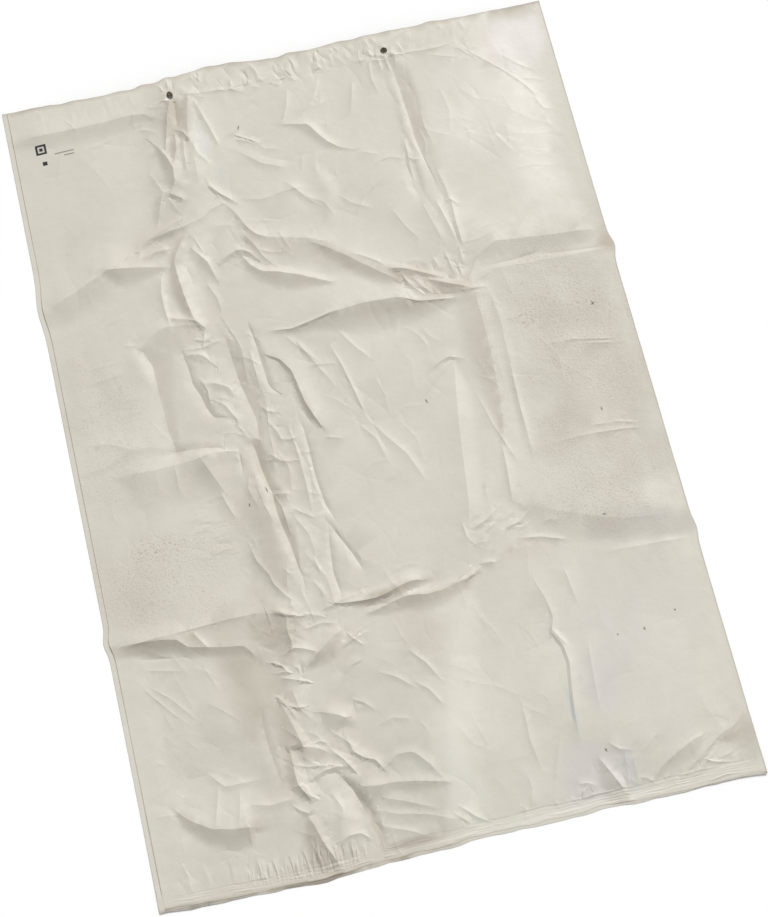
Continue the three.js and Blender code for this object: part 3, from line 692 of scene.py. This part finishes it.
def front_height(x, y):
    """Height of the front wall: its loft between the folds, creases and slow slack waves."""
    from_fold, above_weld = FRONT_FOLD - np.abs(x), y - WELD_LINE
    relief, soil_and_shade = np.zeros(x.shape), np.zeros(x.shape)
    for line in laid:
        near, lift, soil_and_shade_share = crease_heights(x, y, *line)
        relief[near] += lift
        soil_and_shade[near] = np.maximum(soil_and_shade[near], soil_and_shade_share)
    for wave_x, wave_y, phase, lift in WAVES:
        relief += lift * np.sin(wave_x * x + wave_y * y + phase) * smooth(0, 60, above_weld)
    for side in (-1, 1):
        relief += PUCKER_RISE * bump(np.hypot(x - side * HOLE_REACH_X, y - HOLE_Y), PUCKER_REACH)
    edge_height = 3 * EDGE_STEP
    loft = smooth(0, WELD_SHOULDER, above_weld) * smooth(0, LOFT_SHOULDER, from_fold) * (LOFT - edge_height)
    free = 3 * PRESSED_STEP + smooth(0, 14, above_weld) * (edge_height + loft) + FRONT_FAN * down_skirt(y)
    free += (0.15 + 0.85 * smooth(0, 36, from_fold)) * (0.6 + 0.4 * smooth(0, 16, above_weld)) * relief
    # The front wall can't sink into the layers under it
    under = np.where(np.abs(x) > INNER_FOLD - 4, 2.2 * LEAF_STEP, 0.6) * smooth(0, 40, above_weld)
    under = np.minimum(under, 2.2 * EDGE_STEP + 0.06 * from_fold) + 3 * PRESSED_STEP
    return np.maximum(free, under) + curl(x, y), soil_and_shade


def layer_height(layer, x, y):
    """Height of the back wall (0) and of the two gusset leaves (1 and 2)."""
    pressed = layer * PRESSED_STEP
    free = layer * (LEAF_STEP + smooth(INNER_FOLD, FRONT_FOLD, np.abs(x)) * (EDGE_STEP - LEAF_STEP))
    loose = smooth(WELD_LINE, WELD_LINE + WELD_SHOULDER, y)
    return pressed + LEAF_FAN * layer * down_skirt(y) + loose * (free - pressed) + curl(x, y)


# Each layer ends a little short of the one under it, at the skirt below the weld and at the mouth
SKIRT_STEPS, MOUTH_STEPS = (0.0, 1.4, 2.6, 4.0), (0.0, 0.8, 1.4, 2.2)
MOUTH_TRIM = 14


def cut_back(layer, x, y):
    """How far up the film is drawn so that its layers end apart."""
    skirt = SKIRT_STEPS[layer] + 1.0 * np.sin(x / 23 + 2.1 * layer) + 0.6 * np.sin(x / 9.1 + 4.7 * layer)
    mouth = MOUTH_STEPS[layer] + 0.6 * np.sin(x / 17 + 1.3 * layer) + 0.5 * np.sin(x / 7.3 + 3.9 * layer)
    return skirt * down_skirt(y) - mouth * smooth(HALF_LENGTH - MOUTH_TRIM, HALF_LENGTH, y)


def laid_out(layer, x, y):
    """Where the film of a layer really lies across and along the bag."""
    shift_x, shift_y = outline_shift(x, y)
    return x + shift_x, y + shift_y + cut_back(layer, x, y)


# Strength and width of the painted shade line down the right side edge.
SIDE_SHADE, SIDE_SHADE_WIDTH = 1.7, 2.5


def edge_shade(x, y):
    """Painted shade along the cut edges, drawn as dark lines, the most at the skirt's left half."""
    skirt = (2.0 - 1.5 * smooth(-60, 10, x)) * smooth(-HALF_LENGTH + 5, -HALF_LENGTH + 1, y)
    mouth = 1.4 * smooth(HALF_LENGTH - 3, HALF_LENGTH - 0.5, y)
    side = SIDE_SHADE * smooth(HALF_WIDTH - SIDE_SHADE_WIDTH, HALF_WIDTH, x)
    return np.maximum(np.maximum(skirt, mouth), side)


# The mesh is one sheet of vertices: front wall, gusset leaves and back wall, joined at the folds
SIDE_ROWS, FRONT_END_ROWS, BACK_END_ROWS, HOLE_SIDES = 191, 190, 60, 20
HOLE_STRETCH = {-1: (0.9, 1.3), 1: (1.0, 1.0)}
side_ys = np.linspace(-HALF_LENGTH, HALF_LENGTH, SIDE_ROWS)
film_spots, film_out, film_soil_and_shade, film_faces, crest_edges = [], [], [], [], []


def add_film(x, y, z, out, soil_and_shade_share):
    """One vertex of the sheet, the way that its outer side faces and its share of soil and painted shade."""
    film_spots.append((x, y, z))
    film_out.append(out)
    film_soil_and_shade.append(soil_and_shade_share)
    return len(film_spots) - 1


def add_wall(layer, half_width, end_rows, inner_spots, joins, raised):
    """One wall of the tube, its vertices joined into triangles. Returns those along its left and right folds."""
    end_xs = np.linspace(-half_width, half_width, end_rows)[1:-1]
    border = [(-half_width, y) for y in side_ys] + [(x, HALF_LENGTH) for x in end_xs]
    border += [(half_width, y) for y in side_ys[::-1]] + [(x, -HALF_LENGTH) for x in end_xs[::-1]]
    turns = np.linspace(0, 2 * math.pi, HOLE_SIDES, endpoint=False)
    ring = HOLE_RADIUS * np.column_stack([np.cos(turns), np.sin(turns)])
    holes = [ring * HOLE_STRETCH[side] + (side * HOLE_REACH_X, HOLE_Y) for side in (-1, 1)]
    crests = len(joins)
    joins = list(joins)
    first = len(inner_spots)
    for loop in (border, *holes):
        joins += [(first + n, first + (n + 1) % len(loop)) for n in range(len(loop))]
        first += len(loop)
    flat = [Vector(spot) for spot in np.vstack([inner_spots, border, *holes])]
    corners, sides, triangles, origins, side_origins, _ = delaunay_2d_cdt(flat, joins, [], 0, 0.01)
    x, y = np.array([corner[:] for corner in corners]).T
    z, soil_and_shade = raised(x, y, origins)
    up = 1.0 if layer else -1.0
    at_fold = np.where(np.abs(x) > half_width - 0.01, np.sign(x), 0.0)
    places = zip(*laid_out(layer, x, y), z, at_fold, np.maximum(soil_and_shade, edge_shade(x, y)))
    number = [add_film(px, py, pz, (side, 0.0, up), soil_and_shade_share) for px, py, pz, side, soil_and_shade_share in places]
    for a, b, c in triangles:
        middle_x, middle_y = x[[a, b, c]].mean(), y[[a, b, c]].mean()
        stretch_x, stretch_y = HOLE_STRETCH[1 if middle_x > 0 else -1]
        from_hole = math.hypot((abs(middle_x) - HOLE_REACH_X) / stretch_x, (middle_y - HOLE_Y) / stretch_y)
        if from_hole < 0.97 * HOLE_RADIUS:
            continue
        turned = (x[b] - x[a]) * (y[c] - y[a]) - (x[c] - x[a]) * (y[b] - y[a])
        film_faces.append([number[v] for v in ((a, b, c) if turned * up > 0 else (a, c, b))])
    crest_edges.extend((number[a], number[b]) for (a, b), given in zip(sides, side_origins)
                       if any(join < crests for join in given))
    by_length = np.argsort(y)
    return [[number[v] for v in by_length if at_fold[v] == side] for side in (-1, 1)]


def raised_front(x, y, origins):
    """Height, soil and painted shade of the front wall, with each vertex that was given crumpled up or down."""
    height, soil_and_shade = front_height(x, y)
    for vertex, given in enumerate(origins):
        for spot in given:
            if spot < len(free_spots):
                height[vertex] += facet_rise[spot]
    return height, soil_and_shade


def raised_back(x, y, origins):
    """Height of the back wall, which is clean."""
    return layer_height(0, x, y), np.zeros(x.shape)


front_edges = add_wall(3, FRONT_FOLD, FRONT_END_ROWS, free_spots, crest_joins, raised_front)
back_spots = np.array([(x, y) for x in np.arange(-350, 351, 35.0) for y in np.arange(-540, 541, 45.0)])
back_edges = add_wall(0, HALF_WIDTH, BACK_END_ROWS, back_spots, [], raised_back)

# Columns of the gusset leaves, from the front wall in to the inner fold and out again to the back wall
LEAVES = [(2, (FRONT_FOLD, 360, 290, INNER_FOLD)),
          (1, (INNER_FOLD, 290, 365, HALF_WIDTH - SIDE_SHADE_WIDTH, HALF_WIDTH))]
for side, front_edge, back_edge in ((-1, front_edges[0], back_edges[0]), (1, front_edges[1], back_edges[1])):
    strips = [front_edge]
    for layer, columns in LEAVES:
        for column in columns:
            x = np.full(side_ys.shape, float(side * column))
            at_fold = float(side) if column in (columns[0], columns[-1]) else 0.0
            out = (at_fold, 0.0, -1.0 if layer == 2 else 1.0)
            places = zip(*laid_out(layer, x, side_ys), layer_height(layer, x, side_ys), edge_shade(x, side_ys))
            strips.append([add_film(px, py, pz, out, soil_and_shade_share) for px, py, pz, soil_and_shade_share in places])
    strips.append(back_edge)
    for near, far in zip(strips, strips[1:]):
        for n in range(len(near) - 1):
            quad = [near[n + 1], near[n], far[n], far[n + 1]]
            film_faces.append(quad if side > 0 else quad[::-1])

# The sheet becomes film with two sides and cut edges. Crests stay sharp in the shading.
SHARP_ANGLE = 20.0
spots = np.array(film_spots)
outward = np.array(film_out) * FILM_GAUGE / 2
count = len(spots)
vertices = np.vstack([spots + outward, spots - outward])
vertices[:, 2] += FILM_GAUGE / 2 - vertices[:, 2].min()
edges = {(a, b) for face in film_faces for a, b in zip(face, face[1:] + face[:1])}
cut_edges = sorted((a, b) for a, b in edges if (b, a) not in edges)
faces = film_faces + [[v + count for v in reversed(face)] for face in film_faces]
faces += [[b, a, a + count, b + count] for a, b in cut_edges]
film_mesh = bpy.data.meshes.new("bag_film")
film_mesh.from_pydata((vertices * MILLIMETRE).tolist(), [], faces)
film_mesh.validate()
soil_and_shade_share = np.array(2 * film_soil_and_shade, np.float32)
film_mesh.attributes.new("soil_and_shade", "FLOAT", "POINT").data.foreach_set("value", soil_and_shade_share)
film_mesh.shade_smooth()
film_mesh.set_sharp_from_angle(angle=math.radians(SHARP_ANGLE))
sharp, edge_ends = np.zeros(len(film_mesh.edges), bool), np.zeros(2 * len(film_mesh.edges), int)
film_mesh.attributes["sharp_edge"].data.foreach_get("value", sharp)
film_mesh.edges.foreach_get("vertices", edge_ends)
edge_keys = np.sort(edge_ends.reshape(-1, 2)) @ (2 * count, 1)
crest_keys = np.sort(np.array(crest_edges)) @ (2 * count, 1)
film_mesh.attributes["sharp_edge"].data.foreach_set("value", sharp | np.isin(edge_keys, crest_keys))
bag = bpy.data.objects.new("bag_film", film_mesh)
bpy.context.scene.collection.objects.link(bag)

# Film finish: warm off-white with a low satin sheen, tinted and soiled where the bag was packed and carried, with
# painted light and shade in its colour: lighter and darker patches, cool streaks for reflections and dark lines
# along the cut edges
film_finish = bpy.data.materials.new("film_finish")
film_finish.use_nodes = True
nodes, links = film_finish.node_tree.nodes, film_finish.node_tree.links
shader = nodes["Principled BSDF"]
place = nodes.new("ShaderNodeTexCoord").outputs["Object"]


def node(kind, output, inputs, **settings):
    """A shader node with its settings, its inputs given as numbers or as the outputs of others."""
    made = nodes.new("ShaderNode" + kind)
    for name, value in settings.items():
        setattr(made, name, value)
    for name, value in inputs.items():
        if isinstance(value, bpy.types.NodeSocket):
            links.new(value, made.inputs[name])
        else:
            made.inputs[name].default_value = value
    return made.outputs[output]


def noise(scale, detail, rough=0.5):
    """A soft random pattern, its scale in repeats per metre."""
    return node("TexNoise", "Fac", {"Vector": place, "Scale": scale, "Detail": detail, "Roughness": rough})


def span(value, low, high, to_low=0.0, to_high=1.0):
    """Carries a value from one range to another, clamped."""
    return node("MapRange", "Result", {"Value": value, "From Min": low, "From Max": high,
                                       "To Min": to_low, "To Max": to_high})


def blend(share, under, over):
    """Lays one colour over another by share."""
    under, over = (colour + (1.0,) if isinstance(colour, tuple) else colour for colour in (under, over))
    return node("Mix", "Result", {"Factor": share, "A": under, "B": over}, data_type="RGBA")


def fit(middle, half, turn=0.0):
    """Object coordinates carried to a patch of the film, which then reaches from -1 to 1."""
    location = (middle[0] * MILLIMETRE, middle[1] * MILLIMETRE, 0.0)
    scale = (half[0] * MILLIMETRE, half[1] * MILLIMETRE, 1000.0)
    return node("Mapping", "Vector", {"Vector": place, "Location": location, "Scale": scale,
                                      "Rotation": (0.0, 0.0, math.radians(turn))}, vector_type="TEXTURE")


def joined(operation, *values):
    """Joins values, sockets or numbers, by one arithmetic operation."""
    result = values[0]
    for value in values[1:]:
        result = node("Math", "Value", {0: result, 1: value}, operation=operation)
    return result


# A patch fades out over its rim, past the half size that it is given, and drifts in and out there
PATCH_RIM, PATCH_FADE, PATCH_DRIFT = 1.6, (0.28, 0.78), 0.225
drift = span(noise(14, 4), 0.3, 0.7, -PATCH_DRIFT, PATCH_DRIFT)


def patch(middle, half, turn=0.0, strength=1.0, ragged=True):
    """A soft-edged patch of the film, with a ragged outline or a plain one."""
    spot = fit(middle, [PATCH_RIM * reach for reach in half], turn)
    nearness = node("TexGradient", "Fac", {"Vector": spot}, gradient_type="SPHERICAL")
    if ragged:
        nearness = joined("SUBTRACT", nearness, drift)
    return span(nearness, *PATCH_FADE, 0.0, strength)


def block(middle, half):
    """A sharp-edged printed block."""
    out = node("VectorMath", "Vector", {0: fit(middle, half)}, operation="ABSOLUTE")
    out_x, out_y, _ = node("SeparateXYZ", "X", {"Vector": out}).node.outputs
    return joined("LESS_THAN", joined("MAXIMUM", out_x, out_y), 1.0)


colour = blend(span(noise(7, 3), 0.35, 0.65), (0.650, 0.618, 0.535), (0.690, 0.662, 0.582))
colour = blend(span(noise(55, 5, rough=0.65), 0.34, 0.66, 0.0, 0.26), colour, (0.590, 0.552, 0.464))

# Tinted areas: middle, half size, turn in degrees, strength, colour. Some are painted light and shade: lighter
# patches, cool grey streaks for reflections, a bright dot as a highlight, and darker brown patches along the folds
# and over the crumpled column that darken them as soil and as painted shade.
TINTS = [
    # Painted light: the pale patch at (300, 400) brightens the upper right of the bag.
    ((300, 400), (130, 200), 0, 0.9, (0.760, 0.728, 0.650)),
    ((60, 470), (160, 110), 0, 0.30, (0.700, 0.672, 0.595)),
    ((250, -370), (85, 170), 0, 0.55, (0.640, 0.612, 0.562)),
    ((170, -520), (60, 50), 0, 0.5, (0.632, 0.606, 0.566)),
    ((320, -226), (100, 26), -6, 0.5, (0.565, 0.530, 0.490)),
    ((60, -420), (70, 120), 10, 0.5, (0.700, 0.668, 0.590)),
    ((-200, -330), (44, 130), 0, 0.6, (0.540, 0.504, 0.424)),
    ((-185, -518), (22, 36), 0, 0.6, (0.500, 0.462, 0.386)), ((-15, -236), (52, 10), 8, 0.8, (0.450, 0.410, 0.335)),
    ((18, -252), (52, 12), 0, 0.6, (0.490, 0.448, 0.370)), ((10, 240), (60, 20), -30, 0.5, (0.530, 0.490, 0.412)),
    ((84, 203), (36, 14), -32, 0.5, (0.500, 0.455, 0.380)), ((-222, -285), (26, 16), 0, 0.7, (0.470, 0.435, 0.362)),
    ((-50, -380), (50, 60), 0, 0.4, (0.700, 0.668, 0.590)), ((-164, 470), (34, 120), 0, 0.5, (0.556, 0.519, 0.440)),
    ((-190, 340), (40, 60), 0, 0.4, (0.566, 0.528, 0.448)), ((-152, -80), (20, 150), 0, 0.6, (0.520, 0.485, 0.405)),
    ((-178, -200), (30, 70), 0, 0.5, (0.530, 0.494, 0.414)),
    ((-150, 60), (80, 170), 0, 0.45, (0.560, 0.530, 0.448)),
    ((-130, -110), (70, 130), 0, 0.35, (0.560, 0.530, 0.448)),
    ((-120, -420), (90, 130), 0, 0.3, (0.565, 0.535, 0.452)),
    ((-330, -125), (70, 60), 0, 0.25, (0.590, 0.540, 0.456)),
    ((-300, -190), (110, 50), 0, 0.2, (0.595, 0.548, 0.466)),
    ((310, -10), (110, 200), 0, 0.8, (0.570, 0.532, 0.454)), ((372, 340), (22, 160), 0, 0.6, (0.610, 0.575, 0.500)),
    ((118, 190), (46, 26), -24, 0.6, (0.520, 0.466, 0.388)), ((150, 160), (30, 12), 0, 0.6, (0.480, 0.430, 0.355)),
    ((12, -490), (30, 80), 8, 0.8, (0.745, 0.716, 0.636)), ((-330, 520), (50, 40), 0, 0.5, (0.690, 0.662, 0.585)),
    ((-220, 312), (40, 50), 0, 0.4, (0.560, 0.522, 0.442)), ((330, 205), (70, 30), 0, 0.6, (0.560, 0.530, 0.455)),
    ((-225, 104), (36, 60), 0, 0.4, (0.570, 0.535, 0.455)), ((345, -110), (50, 60), 0, 0.5, (0.575, 0.540, 0.465)),
    ((-210, -305), (40, 60), 0, 0.5, (0.490, 0.455, 0.380)), ((5, -296), (40, 46), 0, 0.5, (0.560, 0.520, 0.445)),
    ((154, 410), (8, 120), 2, 0.5, (0.540, 0.500, 0.420)), ((340, -312), (60, 80), 0, 0.4, (0.610, 0.580, 0.520)),
    ((380, 180), (22, 16), 0, 0.8, (0.480, 0.425, 0.340)), ((298, 517), (10, 26), 0, 0.5, (0.690, 0.600, 0.555)),
    # Painted reflection: the narrow cool grey streak at (-123, 460) stands for the sky's reflection.
    ((-123, 460), (14, 34), -4, 0.55, (0.640, 0.642, 0.624)), ((-106, 405), (9, 26), 0, 0.4, (0.645, 0.625, 0.600)),
    # Painted reflection: the narrow cool grey streak at (170, -437) stands for the sky's reflection.
    ((170, -437), (6, 38), 4, 0.75, (0.560, 0.572, 0.580)), ((220, -525), (7, 26), 6, 0.6, (0.555, 0.558, 0.550)),
    ((-220, 176), (44, 24), 0, 0.3, (0.560, 0.522, 0.442)), ((20, -290), (34, 46), 20, 0.4, (0.570, 0.520, 0.440)),
    ((165, -217), (38, 14), 0, 0.45, (0.590, 0.520, 0.450)),
    ((172, 440), (14, 76), -3, 0.35, (0.560, 0.515, 0.430)),
    ((-178, -248), (32, 30), 0, 0.75, (0.475, 0.434, 0.358)),
    ((350, 40), (60, 250), 0, 0.35, (0.575, 0.538, 0.465)),
    ((-226, -330), (30, 110), 0, 0.55, (0.520, 0.484, 0.404)),
    ((-152, 490), (22, 60), 0, 0.75, (0.505, 0.464, 0.386)), ((113, -520), (60, 40), 0, 0.4, (0.700, 0.670, 0.600)),
    ((-340, 450), (60, 110), 0, 0.4, (0.700, 0.672, 0.595)),
    ((-190, -562), (190, 13), 0, 0.5, (0.580, 0.530, 0.455)), ((-58, -556), (34, 7), 0, 0.8, (0.440, 0.390, 0.330)),
    ((215, -425), (30, 50), 0, 0.8, (0.640, 0.605, 0.568)), ((176, -520), (46, 40), 0, 0.7, (0.640, 0.605, 0.568)),
    ((150, -563), (210, 7), 0, 0.8, (0.740, 0.712, 0.640)), ((375, -520), (24, 36), 0, 0.8, (0.510, 0.478, 0.408)),
    ((335, -220), (90, 24), -4, 0.7, (0.530, 0.500, 0.450)),
    ((-184, -350), (24, 80), 0, 0.7, (0.490, 0.458, 0.382)), ((80, 152), (60, 14), -6, 0.5, (0.500, 0.460, 0.385)),
    ((-330, -238), (60, 9), 0, 0.5, (0.480, 0.440, 0.365)), ((-158, -250), (18, 60), 0, 0.5, (0.500, 0.460, 0.385)),
    # Painted light: the pale patch at (345, 525) lightens the mouth's upper right corner against the shade where
    # its edge falls away.
    ((345, 525), (55, 50), 0, 0.8, (0.815, 0.772, 0.735)), ((298, 482), (22, 26), -45, 0.5, (0.640, 0.595, 0.530)),
    # Painted highlight: the small bright dot at (-157, 532) on the left hole's rim.
    ((-157, 532), (3.5, 3), 0, 0.8, (0.860, 0.850, 0.820)), ((-250, -30), (30, 40), 0, 0.25, (0.550, 0.520, 0.440)),
]
for middle, half, turn, strength, tint in TINTS:
    colour = blend(patch(middle, half, turn, strength), colour, tint)

# Soil and painted shade: the facets of the packing folds are browned, as soil and as painted shade, and the cut
# edges are browned and then darkened to painted shade lines; fine specks are rubbed in where the bag was handled,
# and there are a few single dark ticks
SOIL_AND_SHADE_BROWN, EDGE_SHADE_DARK = (0.548, 0.504, 0.424), (0.260, 0.225, 0.180)
SPECK, TICK = (0.370, 0.305, 0.225), (0.130, 0.105, 0.080)
soil_and_shade = node("Attribute", "Fac", {}, attribute_name="soil_and_shade")
# Up to a share of 1: brown, as soil on the facets and as painted shade on the facets and edges.
soil_and_shade_mix = joined("MULTIPLY", joined("MINIMUM", soil_and_shade, 1.0), span(noise(30, 3), 0.3, 0.7, 0.5, 0.9))
colour = blend(soil_and_shade_mix, colour, SOIL_AND_SHADE_BROWN)
# Above a share of 1, which only the cut edges reach, the colour is darkened to painted shade lines.
edge_shade_mix = joined("MULTIPLY", span(soil_and_shade, 1.0, 2.0), span(noise(22, 4), 0.38, 0.6, 0.0, 0.9))
colour = blend(edge_shade_mix, colour, EDGE_SHADE_DARK)
soiled = joined("MAXIMUM", patch((-300, -150), (130, 85)), patch((300, 60), (120, 170)),
                patch((280, -150), (130, 110), strength=0.9), patch((-330, 60), (70, 150), strength=0.7), 0.08)
speckled = joined("MAXIMUM", patch((-300, -106), (52, 20)), patch((245, 95), (26, 26)), patch((283, 115), (14, 16)),
                  patch((330, 100), (26, 16), strength=0.6), patch((235, -58), (40, 16), strength=0.5))
specks = joined("ADD", joined("MULTIPLY", span(noise(620, 2), 0.56, 0.70), soiled, 0.6),
                joined("MULTIPLY", span(noise(360, 2), 0.56, 0.62), speckled, 0.45))
colour = blend(specks, colour, SPECK)
TICKS = [((-70, 468), (1.2, 4), -20), ((-143, -63), (1.2, 5), 10), ((-169, -79), (1.2, 3), 0),
         ((88, 10), (1.2, 4), 15), ((310, -53), (1.3, 3.2), 0), ((275, -197), (3.0, 1.4), -15),
         ((285, -357), (1.5, 2.5), 0), ((197, -498), (1.5, 3), 20), ((330, -341), (1.6, 1.6), 0),
         ((250, -357), (1.4, 1.4), 0), ((338, 99), (1.2, 4.6), 20), ((338, 98), (4.2, 1.1), 25)]
for middle, half, turn in TICKS:
    colour = blend(patch(middle, half, turn, 0.85, ragged=False), colour, TICK)

# Print near the upper left corner: a dark square that holds a pale ring and a dark core, a smaller square
# and two grey bars
INK, PALE_INK, UNPRINTED = (0.030, 0.030, 0.032), (0.300, 0.285, 0.255), (0.580, 0.555, 0.480)
PRINT = [((-342, 499), (7.5, 7.5), INK), ((-342, 499), (4.6, 4.6), UNPRINTED), ((-342, 499), (2.3, 2.3), INK),
         ((-340, 477), (3.2, 3.0), INK), ((-311, 488), (13.5, 0.9), PALE_INK), ((-305, 483), (7.0, 0.9), PALE_INK)]
for middle, half, ink in PRINT:
    colour = blend(block(middle, half), colour, ink)

# Sheen, and a grain that is finer and rougher where the film is soiled
GRAIN_STRENGTH, GRAIN_HEIGHT = 0.36, 0.0011
links.new(colour, shader.inputs["Base Color"])
links.new(span(noise(40, 4), 0.3, 0.7, 0.44, 0.58), shader.inputs["Roughness"])
shader.inputs["Specular IOR Level"].default_value = 0.35
grain = joined("ADD", joined("MULTIPLY", noise(420, 3), 0.2), joined("MULTIPLY", noise(70, 4, rough=0.55), 0.9),
               joined("MULTIPLY", noise(300, 4, rough=0.6), soiled, 1.3))
surface = node("Bump", "Normal", {"Strength": GRAIN_STRENGTH, "Distance": GRAIN_HEIGHT, "Height": grain})
links.new(surface, shader.inputs["Normal"])
film_mesh.materials.append(film_finish)
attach(bag, "root")
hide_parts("bag")

# White floor, which runs far enough to be the background too, just under the film
FLOOR_REACH, FLOOR_DROP = 40, 0.0004
floor_mesh = bpy.data.meshes.new("floor")
floor_corners = [(FLOOR_REACH * x, FLOOR_REACH * y, -FLOOR_DROP) for x, y in ((-1, -1), (1, -1), (1, 1), (-1, 1))]
floor_mesh.from_pydata(floor_corners, [], [(0, 1, 2, 3)])
floor = bpy.data.objects.new("floor", floor_mesh)
bpy.context.scene.collection.objects.link(floor)
floor_paint = bpy.data.materials.new("floor_paint")
floor_paint.use_nodes = True
floor_shader = floor_paint.node_tree.nodes["Principled BSDF"]
floor_shader.inputs["Base Color"].default_value = (1, 1, 1, 1)
floor_shader.inputs["Roughness"].default_value = 0.9
floor_mesh.materials.append(floor_paint)

# Soft studio light: an even white sky and one wide key from the upper right
world = bpy.data.worlds.new("studio")
bpy.context.scene.world = world
world.use_nodes = True
sky = world.node_tree.nodes["Background"]
sky.inputs["Color"].default_value = (1, 1, 1, 1)
sky.inputs["Strength"].default_value = 0.48
KEY_AZIMUTH, KEY_HEIGHT = math.radians(50), math.radians(40)
key = bpy.data.lights.new("key", "SUN")
key.energy = 2.54
key.angle = math.radians(24)
key_light = bpy.data.objects.new("key", key)
bpy.context.scene.collection.objects.link(key_light)
key_from = Vector((math.cos(KEY_AZIMUTH) * math.cos(KEY_HEIGHT),
                   math.sin(KEY_AZIMUTH) * math.cos(KEY_HEIGHT), math.sin(KEY_HEIGHT)))
key_light.rotation_euler = key_from.to_track_quat("Z", "Y").to_euler()

# Camera, from above the bottom end, turned a little about its own axis
CAMERA_PLACE, CAMERA_AIM = Vector((-0.18838664, -1.14426164, 2.90584756)), Vector((0.01593891, -0.05288882, 0.0))
CAMERA_ROLL = math.radians(-2.6238)
camera_data = bpy.data.cameras.new("camera")
camera_data.sensor_fit = "VERTICAL"
camera_data.sensor_height = 36
camera_data.lens = 93.2388
camera = bpy.data.objects.new("camera", camera_data)
bpy.context.scene.collection.objects.link(camera)
view = (CAMERA_AIM - CAMERA_PLACE).to_track_quat("-Z", "Y").to_matrix().to_4x4()
camera.matrix_world = Matrix.Translation(CAMERA_PLACE) @ view @ Matrix.Rotation(CAMERA_ROLL, 4, "Z")
bpy.context.scene.camera = camera
